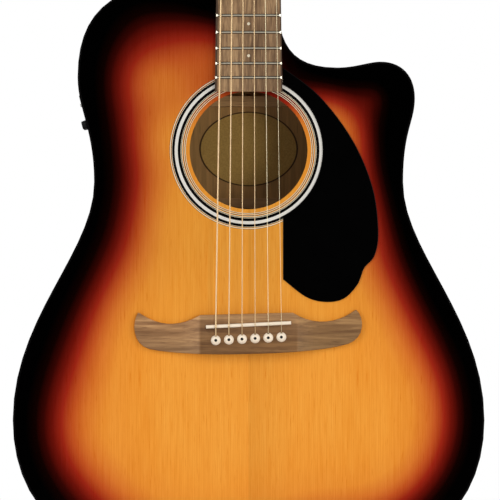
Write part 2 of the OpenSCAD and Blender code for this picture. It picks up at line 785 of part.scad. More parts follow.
module frets() {
    color("gainsboro") for (n = [1 : fret_count]) {
        half = asin((board_w(fret_z(n)) / 2 - fret_in) / board_radius);
        translate([0, y_board + board_radius, fret_z(n)]) difference() {
            rotate([0, 0, -90 - half]) rotate_extrude(angle = 2 * half, $fn = 360)
                polygon([[board_radius - tang_d, -tang_w / 2], [board_radius, -tang_w / 2],
                         [board_radius, -crown_half], [board_radius + fret_h * 0.55, -crown_half * 0.85],
                         [board_radius + fret_h * 0.9, -crown_half * 0.45], [board_radius + fret_h, 0],
                         [board_radius + fret_h * 0.9, crown_half * 0.45],
                         [board_radius + fret_h * 0.55, crown_half * 0.85], [board_radius, crown_half],
                         [board_radius, tang_w / 2], [board_radius - tang_d, tang_w / 2]]);
            for (m = [0, 1])
                mirror([m, 0, 0]) rotate([0, 0, half]) translate([0, -board_radius - fret_land, 0])
                    rotate([0, 0, -90 - fret_bevel])
                        box([-2 * fret_h, 0, -crown_half - over],
                            [4 * fret_h, 4 * fret_h, crown_half + over]);
        }
    }
}

// Position dots: fret number and distance from the middle
dot_r = 1.25;
side_dot_r = 1;
dot_list = [[3, 0], [5, 0], [7, 0], [9, 0], [12, 13], [12, -13], [15, 0], [17, 0], [19, 0]];
function between(n) = (fret_z(n) + fret_z(n - 1)) / 2;
module dots(lift) {
    for (d = dot_list) {
        rod_y(d[1], between(d[0]), dot_r, y_board - lift - over, y_board + 1.2);
        translate([-board_w(between(d[0])) / 2 - over, y_board + 3.4, between(d[0]) + d[1] / 4])
            rotate([0, 90, 0]) cylinder(r = side_dot_r, h = 2.2);
    }
}
module position_dots() {
    color("ivory") intersection() {
        dots(0);
        along_y(y_board - over, y_top)
            polygon([[-board_w(board_end_z) / 2, board_end_z], [board_w(board_end_z) / 2, board_end_z],
                     [nut_w / 2, nut_z], [-nut_w / 2, nut_z]]);
        translate([0, y_board + board_radius, board_end_z - over])
            cylinder(r = board_radius, h = nut_z - board_end_z + 2 * over, $fn = 360);
    }
}

module nut() {
    color("ivory") difference() {
        box([-nut_w / 2, y_top - nut_h, nut_z], [nut_w / 2, y_top, nut_z + nut_t]);
        for (i = [0 : 5])
            box([string_x(i, pitch_nut) - gauges[i] / 2 - slip, y_top - nut_h - over, nut_z - over],
                [string_x(i, pitch_nut) + gauges[i] / 2 + slip, y_top - string_nut_h, nut_z + nut_t + over]);
    }
}

rod_low = block_low + 2;
nut_len = 10;
truss_r = 4.5;
module truss_rod() {
    color("gray") {
        rod_way(rod_r, rod_low, nut_z - 24);
        translate([0, rod_y_axis, nut_z - 24]) box([-2.9, -2.5, 0], [2.9, 2.5, 8]);
    }
}

module truss_nut() {
    color("gold") difference() {
        rod_way(truss_r, block_low + 0.5, block_low + nut_len);
        rod_way(rod_r + run, rod_low - slip, block_low + nut_len + over);
        translate([0, rod_y_axis, block_low]) cylinder(r = 2.3, h = 4, $fn = 6);
    }
}

module string(i) {
    p = string_path(i);
    polyhedron(tube_points(p, gauges[i] / 2, string_sides), tube_faces(len(p), string_sides));
}
module wound_strings() {
    color("darkgoldenrod") for (i = [0 : 3]) string(i);
}

module plain_strings() {
    color("silver") for (i = [4 : 5]) string(i);
}

module ball_ends() {
    color("gold") for (i = [0 : 5]) {
        x = string_x(i, pitch_bridge);
        rod_y(x, pin_z(x) + 1.75, ball_r, y_in + plate_d, y_in + plate_d + ball_h);
    }
}

button_z = joint_z + 7;
module strap_button() {
    color("silver") translate([0, back_y(button_z), button_z]) rotate([back_tilt - 90, 0, 0])
        rotate_extrude() polygon([[0, 0], [5.5, 0], [5.5, 1.5], [3.6, 3.5], [3.4, 7], [4.6, 10],
            [7, 11.5], [7, 13], [5.8, 14], [1.2, 14], [1.2, 13], [0, 13]]);
}

stem_r = 4.6;
module end_pin() {
    color("silver") difference() {
        rotate_extrude() polygon([[0, 0.4], [6.4, 0.4], [7.2, 1.2], [7.2, 2.6], [6.2, 4.2], [5.8, 7.4],
            [6.6, 9.4], [9, 10.6], [9, tail_z], [0, tail_z]]);
        cylinder(r = stem_r + run, h = 60, center = true);
    }
}

module output_jack() {
    color("gray") difference() {
        union() {
            cylinder(r = stem_r, h = 20);
            translate([0, 0, tail_z]) cylinder(r = barrel_r, h = 34);
            translate([0, 0, tail_high]) cylinder(r = 9, h = 3, $fn = 6);
        }
        translate([0, 0, -over]) cylinder(r = jack_r, h = 34 + over);
    }
}

module preamp_panel() {
    color("black") at_preamp() difference() {
        union() {
            box([-pre_half, pre_y0, pre_out - panel_t], [pre_half, pre_y1, pre_out]);
        }
        for (y = knob_ys)
            translate([knob_x, y, -10]) cylinder(r = shaft_r + run, h = 20);
        translate([button_x, button_y, -10]) cylinder(r = button_r + run, h = 20);
        box([-door_x - door_gap, door_y0 - door_gap, -10], [door_x + door_gap, door_y1 + door_gap, 10]);
        translate([door_x - door_t / 2, door_y0 - 1.2, pre_out - door_t / 2]) rotate([-90, 0, 0])
            cylinder(r = 0.45, h = door_y1 - door_y0 + 2.4);
    }
}

module preamp_case() {
    color("dimgray") at_preamp() difference() {
        union() {
            box([-pre_half + 1, pre_y0 + 1, pre_out - panel_t - case_d],
                [pre_half - 1, door_y0 - 2, pre_out - panel_t]);
            box([-cell_w / 2 - 2.2, door_y0 - 2, pre_out - panel_t - cell_l - 6],
                [cell_w / 2 + 2.2, door_y1 + 2.4, pre_out - panel_t]);
        }
        for (y = knob_ys)
            translate([knob_x, y, pre_out - panel_t - 6]) cylinder(r = shaft_r + run, h = 20);
        translate([button_x, button_y, pre_out - panel_t - 4]) cylinder(r = button_r + run, h = 20);
        box([-cell_w / 2 - 0.4, door_y0 + 0.4, pre_out - panel_t - cell_l - 3.5],
            [cell_w / 2 + 0.4, door_y1 - 0.2, over]);
    }
}

module knob(y) {
    color("black") at_preamp() translate([knob_x, y, pre_out + 0.3]) difference() {
        union() {
            rotate_extrude() polygon([[0, -panel_t - 5.8], [shaft_r, -panel_t - 5.8], [shaft_r, 0],
                [knob_r, 0], [knob_r, 0.8], [knob_r - 0.3, knob_h - 0.8],
                [knob_r - 0.9, knob_h - 0.3], [0, knob_h - 0.3]]);
        }
        box([0.8, -0.35, knob_h - 1], [knob_r, 0.35, knob_h]);
    }
}
module knob_volume() { knob(knob_ys[0]); }
module knob_bass() { knob(knob_ys[1]); }
module knob_treble() { knob(knob_ys[2]); }

module tuner_switch() {
    color("white") at_preamp() translate([button_x, button_y, pre_out - panel_t - 2])
        cylinder(r = button_r, h = panel_t + 2 + button_h);
}

module battery_door() {
    color("black") at_preamp() {
        box([-door_x, door_y0, pre_out - door_t], [door_x - door_t / 2, door_y1, pre_out]);
        translate([door_x - door_t / 2, door_y0, pre_out - door_t / 2]) rotate([-90, 0, 0])
            cylinder(r = door_t / 2, h = door_y1 - door_y0);
        translate([door_x - door_t / 2, door_y0 - 1.1, pre_out - door_t / 2]) rotate([-90, 0, 0])
            cylinder(r = 0.4, h = door_y1 - door_y0 + 2.2);
    }
}

module battery() {
    color("gray") at_preamp()
        box([-cell_w / 2, door_y0 + 0.6, pre_out - panel_t - cell_l - 3.4],
            [cell_w / 2, door_y0 + 0.6 + cell_t, pre_out - panel_t - 3.4]);
}

// Tuner parts in the tuner frame
ear_x = 0;
ear_z = 11;
screw_r = 1.2;
house_half = 7.8;
module tuner_housing() {
    difference() {
        union() {
            rod_y(0, 0, house_half, head_t, head_t + house_t);
            box([-house_half, head_t, -centre_gap - 4.8], [house_half, head_t + house_t, 0]);
            translate([house_half - over, worm_y, -centre_gap]) rotate([0, 90, 0])
                cylinder(r = 3.6, h = house_out - house_half + over);
            box([-3.2, head_t, 0], [3.2, head_t + 2.4, ear_z]);
            rod_y(ear_x, ear_z, 3.2, head_t, head_t + 2.4);
        }
        rod_y(0, 0, wheel_r + 1.2, head_t - over, head_t + house_in);
        translate([-worm_half - 0.4, worm_y, -centre_gap]) rotate([0, 90, 0])
            cylinder(r = worm_tip + 0.4, h = 2 * worm_half + 0.8);
        box([-worm_half - 0.4, head_t - over, -centre_gap - worm_tip - 0.4],
            [worm_half + 0.4, worm_y, -centre_gap + worm_tip + 0.4]);
        translate([0, worm_y, -centre_gap]) rotate([0, 90, 0]) cylinder(r = key_r + run, h = 40);
        rod_y(0, 0, key_r + run, head_t, head_t + house_t - 1);
        rod_y(ear_x, ear_z, screw_r + slip, head_t - over, head_t + house_t);
    }
}
worm_half = worm_turns * worm_pitch / 2;
module tuner_housings() {
    color("silver") for (i = [0 : 5]) at_tuner(i) tuner_housing();
}

module tuner_bushings() {
    color("silver") for (i = [0 : 5]) at_tuner(i) difference() {
        union() {
            rod_y(0, 0, bush_r, -plate_t, head_t - 1);
            rod_y(0, 0, 7, -plate_t - washer_t, -plate_t);
            translate([0, -plate_t - washer_t, 0]) rotate([90, 0, 0]) cylinder(r = 6.2, h = hex_t, $fn = 6);
        }
        rod_y(0, 0, post_r + run, -plate_t - 10, head_t + over);
    }
}

module tuner_screws() {
    color("silver") for (i = [0 : 5]) at_tuner(i) {
        rod_y(ear_x, ear_z, screw_r, head_t - 7.8, head_t + 2.4);
        difference() {
            rod_y(ear_x, ear_z, 2.3, head_t + 2.4, head_t + 3.8);
            box([-1.6, head_t + 3, ear_z - 0.3], [1.6, head_t + 5, ear_z + 0.3]);
            box([-0.3, head_t + 3, ear_z - 1.6], [0.3, head_t + 5, ear_z + 1.6]);
        }
    }
}

tooth_root = 1;
tooth_tip = 0.45;
wheel_root = wheel_r - 0.75;
wheel_tip = wheel_r + 0.6;
function arc(r, a) = [r * cos(a), r * sin(a)];
wheel_edge = [for (k = [0 : wheel_teeth - 1]) let (a = -90 + 360 * k / wheel_teeth,
        ar = asin(tooth_root / 2 / wheel_root), at = asin(tooth_tip / 2 / wheel_tip))
    each [arc(wheel_root, a - ar), arc(wheel_tip, a - at), arc(wheel_tip, a + at), arc(wheel_root, a + ar)]];
module tuner_post(i) {
    color("silver") at_tuner(i) {
        along_y(wheel_y0, wheel_y0 + wheel_w) difference() {
            polygon(wheel_edge);
            circle(r = post_r);
        }
        difference() {
            union() {
                rotate([90, 0, 0]) rotate_extrude() polygon([[0, -head_t - house_t + 1.4],
                    [key_r, -head_t - house_t + 1.4], [key_r, -head_t - 8], [post_r, -head_t - 7.6],
                    [post_r, plate_t + 4.2], [waist_r, plate_t + 4.8], [waist_r, plate_t + 14.2],
                    [post_r, plate_t + 15], [post_r, plate_t + post_top - 0.6],
                    [post_r - 0.6, plate_t + post_top], [0, plate_t + post_top]]);
            }
            translate([0, -plate_t - 12.6, 0]) cylinder(r = 0.9, h = 12, center = true);
        }
    }
}

button_edge = [[0, 3], [3, 6.2], [8, 9], [13, 9.4], [16.4, 6.4], [17.2, 0]];
key_out = house_out + 0.6;
button_t = 7.6;
module tuner_key(i) {
    color("silver") at_tuner(i) translate([0, worm_y, -centre_gap]) {
        rotate([0, 90, 0]) {
            polyhedron(worm_points, tube_faces(worm_rows + 1, worm_sides));
            translate([0, 0, -worm_half - 0.3]) cylinder(r = key_r, h = key_out + worm_half + 3);
        }
        translate([key_out, 0, 0]) along_y(-button_t / 2, button_t / 2)
            polygon(concat(smooth(button_edge, 5),
                [for (p = smooth([for (k = [5 : -1 : 0]) [button_edge[k][0], -button_edge[k][1]]], 5)) p]));
    }
}

soundboard();
back_plate();
side_bass();
side_treble();
top_binding();
back_binding();
linings();
neck_block();
tail_block();
x_braces();
top_braces();
bridge_plate();
back_braces();
label();
rosette_light();
rosette_dark();
pickguard();
bridge();
saddle();
pickup_strip();
bridge_pins();
neck();
heel_cap();
headstock();
headplate();
fingerboard();
frets();
position_dots();
nut();
truss_rod();
truss_nut();
wound_strings();
plain_strings();
ball_ends();
strap_button();
end_pin();
output_jack();
preamp_panel();
preamp_case();
knob_volume();
knob_bass();
knob_treble();
tuner_switch();
battery_door();
battery();
tuner_housings();
tuner_bushings();
tuner_screws();
tuner_post(0);  // tuner_post_1
tuner_post(1);  // tuner_post_2
tuner_post(2);  // tuner_post_3
tuner_post(3);  // tuner_post_4
tuner_post(4);  // tuner_post_5
tuner_post(5);  // tuner_post_6
tuner_key(0);  // tuner_key_1
tuner_key(1);  // tuner_key_2
tuner_key(2);  // tuner_key_3
tuner_key(3);  // tuner_key_4
tuner_key(4);  // tuner_key_5
tuner_key(5);  // tuner_key_6
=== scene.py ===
"""Steel-string acoustic guitar with a rounded cutaway and a sunburst top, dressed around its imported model."""
import json
import math

import bmesh
import bpy
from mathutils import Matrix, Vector


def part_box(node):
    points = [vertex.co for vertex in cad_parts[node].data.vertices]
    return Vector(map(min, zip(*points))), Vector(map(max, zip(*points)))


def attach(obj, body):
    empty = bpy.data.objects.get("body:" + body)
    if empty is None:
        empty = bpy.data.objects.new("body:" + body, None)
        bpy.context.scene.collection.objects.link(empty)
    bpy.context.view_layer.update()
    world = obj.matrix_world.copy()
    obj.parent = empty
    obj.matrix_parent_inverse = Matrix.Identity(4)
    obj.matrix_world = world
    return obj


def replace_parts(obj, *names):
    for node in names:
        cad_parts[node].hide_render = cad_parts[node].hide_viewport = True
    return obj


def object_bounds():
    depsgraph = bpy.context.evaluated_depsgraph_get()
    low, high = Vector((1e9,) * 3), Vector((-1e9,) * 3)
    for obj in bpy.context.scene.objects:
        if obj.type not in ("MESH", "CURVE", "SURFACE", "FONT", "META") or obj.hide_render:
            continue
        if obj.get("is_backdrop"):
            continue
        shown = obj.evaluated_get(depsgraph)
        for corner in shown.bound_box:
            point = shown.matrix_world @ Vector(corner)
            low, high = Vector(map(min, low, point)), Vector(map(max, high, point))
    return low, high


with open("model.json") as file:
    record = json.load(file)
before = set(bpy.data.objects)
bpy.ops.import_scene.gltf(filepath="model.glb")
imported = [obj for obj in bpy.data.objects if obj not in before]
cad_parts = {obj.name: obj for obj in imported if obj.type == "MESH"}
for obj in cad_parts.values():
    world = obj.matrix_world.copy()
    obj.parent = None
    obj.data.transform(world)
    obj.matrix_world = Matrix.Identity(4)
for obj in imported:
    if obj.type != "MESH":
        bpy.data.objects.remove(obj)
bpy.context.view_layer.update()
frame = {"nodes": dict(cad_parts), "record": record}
nodes = frame["nodes"]


# Camera
# A long lens square to the soundboard, as in a catalogue picture. The frame takes in the body
# from the horn to below the bridge and cuts off the neck and the tail.
MM = 0.001
TOP_Y = -61.0  # the face of the soundboard, in millimetres
LENS_TO_TOP, FRAME_WIDE = 4.0, 0.424
FRAME_X, FRAME_Z = 1.2 * MM, 289.3 * MM
scene = bpy.context.scene
lens = bpy.data.cameras.new("catalogue_lens")
lens.sensor_width = 36.0
lens.lens = lens.sensor_width * LENS_TO_TOP / FRAME_WIDE
lens.clip_end = 100.0
camera = bpy.data.objects.new("catalogue_camera", lens)
camera.location = (FRAME_X, TOP_Y * MM - LENS_TO_TOP, FRAME_Z)
camera.rotation_euler = (math.pi / 2, 0.0, 0.0)
scene.collection.objects.link(camera)
scene.camera = camera


# Studio
# White all round and dimmer overhead, soft boxes on both sides, and a black flag behind the camera,
# so that the flat gloss of the top stays deep. A pale floor under the tail takes the shadow.
scene.view_settings.view_transform = "Standard"


def add(tree, kind, wires=None, **settings):
    """Adds a node, a shader node unless its kind says more; a wire is a value or the socket that feeds it."""
    made = tree.nodes.new(kind if "Node" in kind else "ShaderNode" + kind)
    for name, value in settings.items():
        setattr(made, name, value)
    for name, value in (wires or {}).items():
        if isinstance(value, bpy.types.NodeSocket):
            tree.links.new(value, made.inputs[name])
        else:
            made.inputs[name].default_value = value
    return made


def calc(tree, operation, *terms):
    """One Math node; gives its result."""
    return add(tree, "Math", dict(enumerate(terms)), operation=operation).outputs[0]


def fade(tree, value, start, stop, first=0.0, last=1.0, how="LINEAR"):
    """Goes from the first number to the last while a value goes from start to stop."""
    wires = {0: value, 1: start, 2: stop, 3: first, 4: last}
    return add(tree, "MapRange", wires, interpolation_type=how).outputs[0]


def grey(tree, value):
    """One value in all three channels of a colour."""
    return add(tree, "CombineColor", {0: value, 1: value, 2: value}).outputs[0]


def split(tree, vector):
    """The three parts of a vector."""
    return add(tree, "SeparateXYZ", {0: vector}).outputs


def length(tree, vector):
    """How long a vector is."""
    return add(tree, "VectorMath", {0: vector}, operation="LENGTH").outputs["Value"]


def spot(tree):
    """Where a point of a surface lies in the guitar's frame."""
    return add(tree, "TexCoord").outputs["Object"]


AMBIENT = 0.62
FLAG, FLAG_FROM, FLAG_TO = 0.01, -0.985, -0.93
CEILING, CEILING_FROM, CEILING_TO = 0.35, 0.15, 0.8
world = bpy.data.worlds.new("studio")
world.use_nodes = True
scene.world = world
sky = world.node_tree
sky.nodes.clear()
path = add(sky, "LightPath").outputs
seen = calc(sky, "MAXIMUM", path["Is Camera Ray"], path["Is Transmission Ray"])
toward = split(sky, add(sky, "TexCoord").outputs["Generated"])
beside = fade(sky, toward["Y"], FLAG_FROM, FLAG_TO, FLAG, 1.0, "SMOOTHSTEP")
overhead = fade(sky, toward["Z"], CEILING_FROM, CEILING_TO, 1.0, CEILING, "SMOOTHSTEP")
white = calc(sky, "MAXIMUM", seen, calc(sky, "MULTIPLY", beside, overhead))
shown = add(sky, "Background", {"Color": grey(sky, white)}).outputs[0]
light = add(sky, "Background", {"Strength": AMBIENT}).outputs[0]
mirrors = calc(sky, "MAXIMUM", seen, path["Is Glossy Ray"])
mixed = add(sky, "MixShader", {0: mirrors, 1: light, 2: shown}).outputs[0]
add(sky, "OutputWorld", {0: mixed})

AIM = Vector((0.0, 0.0, 0.42))
SOFT_BOXES = [  # name, place, width, height, power, seen in gloss
    ("box_left", (-2.3, -1.7, 1.3), 0.9, 1.8, 26.0, True),
    ("box_right", (2.3, -1.6, 1.1), 0.9, 1.8, 20.0, True),
    ("box_front", (1.25, -3.2, 0.15), 0.8, 0.8, 25.0, False),
    ("box_back", (-1.2, 2.6, 1.4), 1.2, 1.6, 34.0, True),
]
for name, place, wide, high, power, in_gloss in SOFT_BOXES:
    lamp = bpy.data.lights.new(name, "AREA")
    lamp.shape = "RECTANGLE"
    lamp.size, lamp.size_y, lamp.energy = wide, high, power
    holder = bpy.data.objects.new(name, lamp)
    holder.location = place
    holder.rotation_euler = (AIM - Vector(place)).to_track_quat("-Z", "Y").to_euler()
    holder.visible_glossy = in_gloss
    scene.collection.objects.link(holder)

FLOOR_Z, FLOOR_R, FLOOR_SIDES = -0.6 * MM, 1.3, 64
FLOOR_SOLID, FLOOR_GONE = 0.25 * FLOOR_R, 0.95 * FLOOR_R
FLOOR_PALE = (0.86, 0.86, 0.86, 1.0)
floor_mesh = bpy.data.meshes.new("floor")
turns = [math.tau * k / FLOOR_SIDES for k in range(FLOOR_SIDES)]
floor_rim = [(FLOOR_R * math.cos(turn), FLOOR_R * math.sin(turn), FLOOR_Z) for turn in turns]
floor_mesh.from_pydata(floor_rim, [], [range(FLOOR_SIDES)])
floor = bpy.data.objects.new("floor", floor_mesh)
scene.collection.objects.link(floor)
floor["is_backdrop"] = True
floor_paint = bpy.data.materials.new("pale_floor")
floor_paint.use_nodes = True
tree = floor_paint.node_tree
tree.nodes.clear()
edge = fade(tree, length(tree, spot(tree)), FLOOR_SOLID, FLOOR_GONE, how="SMOOTHSTEP")
matt = add(tree, "BsdfDiffuse", {"Color": FLOOR_PALE}).outputs[0]
gone = add(tree, "BsdfTransparent").outputs[0]
faded = add(tree, "MixShader", {0: edge, 1: matt, 2: gone}).outputs[0]
add(tree, "OutputMaterial", {0: faded})
floor_mesh.materials.append(floor_paint)


# Soundboard
# Two bookmatched spruce halves, glued along the middle and ringed with fine year lines. The
# finish is sprayed from amber in the middle through red to black at the rim, under clear gloss.
def paint(red, green, blue):
    """A screen colour, 0 to 255, as the linear colour of a socket."""
    shares = [channel / 255 for channel in (red, green, blue)]
    return tuple(((s + 0.055) / 1.055) ** 2.4 if s > 0.04045 else s / 12.92 for s in shares) + (1.0,)


def new_finish(name, **sockets):
    """A material's tree and Principled shader; the sockets given are the same all over the surface."""
    made = bpy.data.materials.new(name)
    made.use_nodes = True
    shader = made.node_tree.nodes["Principled BSDF"]
    for key, value in sockets.items():
        shader.inputs[key.replace("_", " ")].default_value = value
    return made.node_tree, shader


def feed(tree, shader, **wires):
    """Links what changes over the surface to the shader."""
    for key, socket in wires.items():
        tree.links.new(socket, shader.inputs[key.replace("_", " ")])


def relief(tree, shader, height, depth):
    """Feeds a height to the shader's normal, as a relief of that depth in metres."""
    feed(tree, shader, Normal=add(tree, "Bump", {"Height": height, "Distance": depth}).outputs[0])


def new_effect(name, inputs, outputs):
    """A shader node group with named sockets; inputs are (name, type, value)."""
    group = bpy.data.node_groups.new(name, "ShaderNodeTree")
    for label, kind, value in inputs:
        socket = group.interface.new_socket(label, in_out="INPUT", socket_type="NodeSocket" + kind)
        if value is not None:
            socket.default_value = value
    for label, kind in outputs:
        group.interface.new_socket(label, in_out="OUTPUT", socket_type="NodeSocket" + kind)
    return group, group.nodes.new("NodeGroupInput").outputs, group.nodes.new("NodeGroupOutput").inputs


def effect(tree, group, **wires):
    """Places an effect in a material with its own values."""
    return add(tree, "Group", wires, node_tree=group).outputs


def ramp(tree, value, *stops):
    """Colours along a value, as (place, colour)."""
    made = add(tree, "ValToRGB", {0: value})
    line = made.color_ramp
    while len(line.elements) < len(stops):
        line.elements.new(0.5)
    for stop, (place, colour) in zip(line.elements, sorted(stops)):
        stop.position, stop.color = place, paint(*colour)
    return made.outputs[0]


def blend(tree, how, share, under, over):
    """Mixes two colours."""
    return add(tree, "Mix", {0: share, 6: under, 7: over}, data_type="RGBA", blend_type=how).outputs[2]


def noise(tree, vector, scale, detail, **wires):
    """A cloudy value from 0 to 1."""
    return add(tree, "TexNoise", {"Vector": vector, "Scale": scale, "Detail": detail, **wires}).outputs[0]


def facing(tree):
    """Which way the surface looks."""
    return add(tree, "TexCoord").outputs["Normal"]


def halves(tree):
    """The place on one half of a bookmatched pair, the same for both."""
    x, y, z = split(tree, spot(tree))
    return add(tree, "CombineXYZ", {0: calc(tree, "ABSOLUTE", x), 1: y, 2: z}).outputs[0]


def material_of(tree):
    """The material that a tree of nodes belongs to."""
    return next(made for made in bpy.data.materials if made.node_tree == tree)


def dress(tree, *names):
    """Puts a finish on CAD nodes."""
    for name in names:
        mesh = nodes[name].data
        mesh.materials.clear()
        mesh.materials.append(material_of(tree))


# Sawn wood: year lines and pores that run along the grain
FIGURE_SCALE = 46.0
PORE_STRETCH, PORES_TO_A_LINE = 0.05, 4.0
PORE_FROM, PORE_FULL = 0.62, 0.72
grain, given, gives = new_effect(
    "wood_grain",
    [("Vector", "Vector", None), ("Lines", "Float", 300.0), ("Stretch", "Float", 0.02)],
    [("Grain", "Float"), ("Figure", "Float"), ("Pores", "Float")])
x, y, z = split(grain, given["Vector"])
slow = add(grain, "CombineXYZ", {0: x, 1: y, 2: calc(grain, "MULTIPLY", z, given["Stretch"])}).outputs[0]
short = add(grain, "CombineXYZ", {0: x, 1: y, 2: calc(grain, "MULTIPLY", z, PORE_STRETCH)}).outputs[0]
pits = noise(grain, short, calc(grain, "MULTIPLY", given["Lines"], PORES_TO_A_LINE), 2.0)
grain.links.new(noise(grain, slow, given["Lines"], 5.0, Roughness=0.62, Distortion=0.3), gives["Grain"])
grain.links.new(noise(grain, slow, FIGURE_SCALE, 3.0), gives["Figure"])
grain.links.new(fade(grain, pits, PORE_FROM, PORE_FULL), gives["Pores"])

# Sprayed and polished lacquer: faint orange peel, and a polish that isn't quite even
HAZE_SCALE, PEEL_SCALE = 18.0, 420.0
lacquer, given, gives = new_effect(
    "lacquer_skin", [("Polish", "Float", 0.1), ("Haze", "Float", 0.06)],
    [("Roughness", "Float"), ("Height", "Float")])
haze = noise(lacquer, spot(lacquer), HAZE_SCALE, 4.0)
lacquer.links.new(calc(lacquer, "MULTIPLY_ADD", haze, given["Haze"], given["Polish"]), gives["Roughness"])
lacquer.links.new(noise(lacquer, spot(lacquer), PEEL_SCALE, 2.0), gives["Height"])

# Amber patch of the burst: soft discs, (x, z, radius) in millimetres, that run together, less a
# dark disc by the neck
BURST_DISCS = [(-114, 137, 47), (84, 145, 90), (1, 192, 147), (4, 309, 109), (-31, 479, 69),
               (-55, 385, 48), (-71, 436, 39), (106, 419, 4), (60, 386, 37), (-39, 144, 116)]
BURST_JOIN, BURST_ROUND = 62.0, 12.0
NECK_SHADE, NECK_SHADE_JOIN = (11, 718, 242), 107.0
BURST_COLOURS = [  # millimetres out from the edge of the patch, and the colour there
    (18, (0, 0, 0)), (10, (14, 1, 0)), (4, (51, 5, 2)), (-3, (105, 17, 8)), (-10, (153, 36, 18)),
    (-18, (191, 81, 31)), (-27, (214, 115, 41)), (-40, (230, 141, 48)), (-60, (236, 149, 51)),
    (-85, (238, 154, 55))]
tree, shader = new_finish("sunburst_spruce", Specular_IOR_Level=0.12)
x, y, z = split(tree, spot(tree))
flat = add(tree, "CombineXYZ", {0: calc(tree, "DIVIDE", x, MM), 1: calc(tree, "DIVIDE", z, MM),
                                2: BURST_ROUND}).outputs[0]


def beyond_disc(disc, lift=0.0):
    """Millimetres outside a disc of the burst."""
    middle = (disc[0], disc[1], lift)
    away = add(tree, "VectorMath", {0: flat, 1: middle}, operation="DISTANCE").outputs["Value"]
    return calc(tree, "SUBTRACT", away, disc[2])


out = beyond_disc(BURST_DISCS[0])
for disc in BURST_DISCS[1:]:
    out = calc(tree, "SMOOTH_MIN", out, beyond_disc(disc), BURST_JOIN)
in_shade = calc(tree, "MULTIPLY", beyond_disc(NECK_SHADE, BURST_ROUND), -1.0)
out = calc(tree, "SMOOTH_MAX", out, in_shade, NECK_SHADE_JOIN)

# The spray fades most softly at the bass side of the tail, and most sharply in the horn
SPRAY_SOFT, SPRAY_CRISP, SPRAY_HORN = 0.92, 1.13, 1.57
CORNER_LEAN = 0.8
TAIL_FROM, TAIL_TO = 0.0, 0.2
HORN_FROM, HORN_TO = 0.34, 0.42
corner = calc(tree, "MULTIPLY_ADD", z, CORNER_LEAN, x)
crisp = fade(tree, corner, TAIL_FROM, TAIL_TO, SPRAY_SOFT, SPRAY_CRISP)
sharp = fade(tree, corner, HORN_FROM, HORN_TO, 1.0, SPRAY_HORN)
out = calc(tree, "MULTIPLY", out, calc(tree, "MULTIPLY", crisp, sharp))
far_in, far_out = BURST_COLOURS[-1][0], BURST_COLOURS[0][0]
burst = ramp(tree, fade(tree, out, far_in, far_out),
             *[((place - far_in) / (far_out - far_in), colour) for place, colour in BURST_COLOURS])

# Year lines, figure and flecks of the spruce, each with what it adds to the tone
YEAR_SCALE, YEAR_STRETCH, YEAR_TONE = 205.0, 0.02, 0.08
GRAIN_TONE, GRAIN_BASE = 0.5, 0.71
FIGURE_TONE, FIGURE_BASE = 0.16, 0.92
FLECK_TONE, FLECK_BASE = -0.22, 1.02
wood = effect(tree, grain, Vector=halves(tree), Lines=620.0, Stretch=0.04)
flecks = effect(tree, grain, Vector=halves(tree), Lines=290.0, Stretch=0.03)["Pores"]
rows = add(tree, "CombineXYZ", {0: calc(tree, "ABSOLUTE", x), 2: calc(tree, "MULTIPLY", z, YEAR_STRETCH)})
year = add(tree, "TexWave", {"Vector": rows.outputs[0], "Scale": YEAR_SCALE, "Distortion": 2.2, "Detail": 2.0,
                             "Detail Scale": 0.08}).outputs["Fac"]
lined = calc(tree, "MULTIPLY_ADD", wood["Grain"], GRAIN_TONE, GRAIN_BASE)
lined = calc(tree, "MULTIPLY_ADD", year, YEAR_TONE, lined)
lined = calc(tree, "MULTIPLY", lined, calc(tree, "MULTIPLY_ADD", wood["Figure"], FIGURE_TONE, FIGURE_BASE))
lined = calc(tree, "MULTIPLY", lined, calc(tree, "MULTIPLY_ADD", flecks, FLECK_TONE, FLECK_BASE))

# The treble half starts darker at the glue seam, and the whole top is painted a little darker toward the neck
# as painted shade
SEAM_WIDE, SEAM_TONE, SEAM_EDGE = 40.0 * MM, 0.9, 0.4 * MM
NECKWARD_FROM, NECKWARD_TO = 200.0 * MM, 290.0 * MM
NECKWARD_SHADE_RGB = (0.89, 0.94, 0.94)
GRAIN_IN_RGB = (0.42, 1.1, 2.6)
darker = fade(tree, x, 0.0, SEAM_WIDE, SEAM_TONE - 1.0, 0.0)
seam = calc(tree, "MULTIPLY_ADD", darker, fade(tree, x, -SEAM_EDGE, SEAM_EDGE), 1.0)
tones = {}
for k, (deepest, power) in enumerate(zip(NECKWARD_SHADE_RGB, GRAIN_IN_RGB)):
    shade = calc(tree, "MULTIPLY", seam, fade(tree, z, NECKWARD_FROM, NECKWARD_TO, 1.0, deepest))
    tones[k] = calc(tree, "MULTIPLY", shade, calc(tree, "POWER", lined, power))
tone = add(tree, "CombineColor", tones).outputs[0]

# Lacquer outside, and bare spruce on the faces that look into the box
INNER_SPRUCE, INNER_ROUGH = (206, 168, 116), 0.7
TURNED_FROM, TURNED_FULL = 0.4, 0.6
inside = fade(tree, split(tree, facing(tree))[1], TURNED_FROM, TURNED_FULL)
sprayed = blend(tree, "MULTIPLY", 1.0, burst, tone)
bare = blend(tree, "MULTIPLY", 1.0, paint(*INNER_SPRUCE), tone)
skin = effect(tree, lacquer, Polish=0.08, Haze=0.07)
feed(tree, shader, Base_Color=blend(tree, "MIX", inside, sprayed, bare),
     Roughness=calc(tree, "MAXIMUM", skin["Roughness"], calc(tree, "MULTIPLY", inside, INNER_ROUGH)))
relief(tree, shader, skin["Height"], 0.004 * MM)
dress(tree, "soundboard")


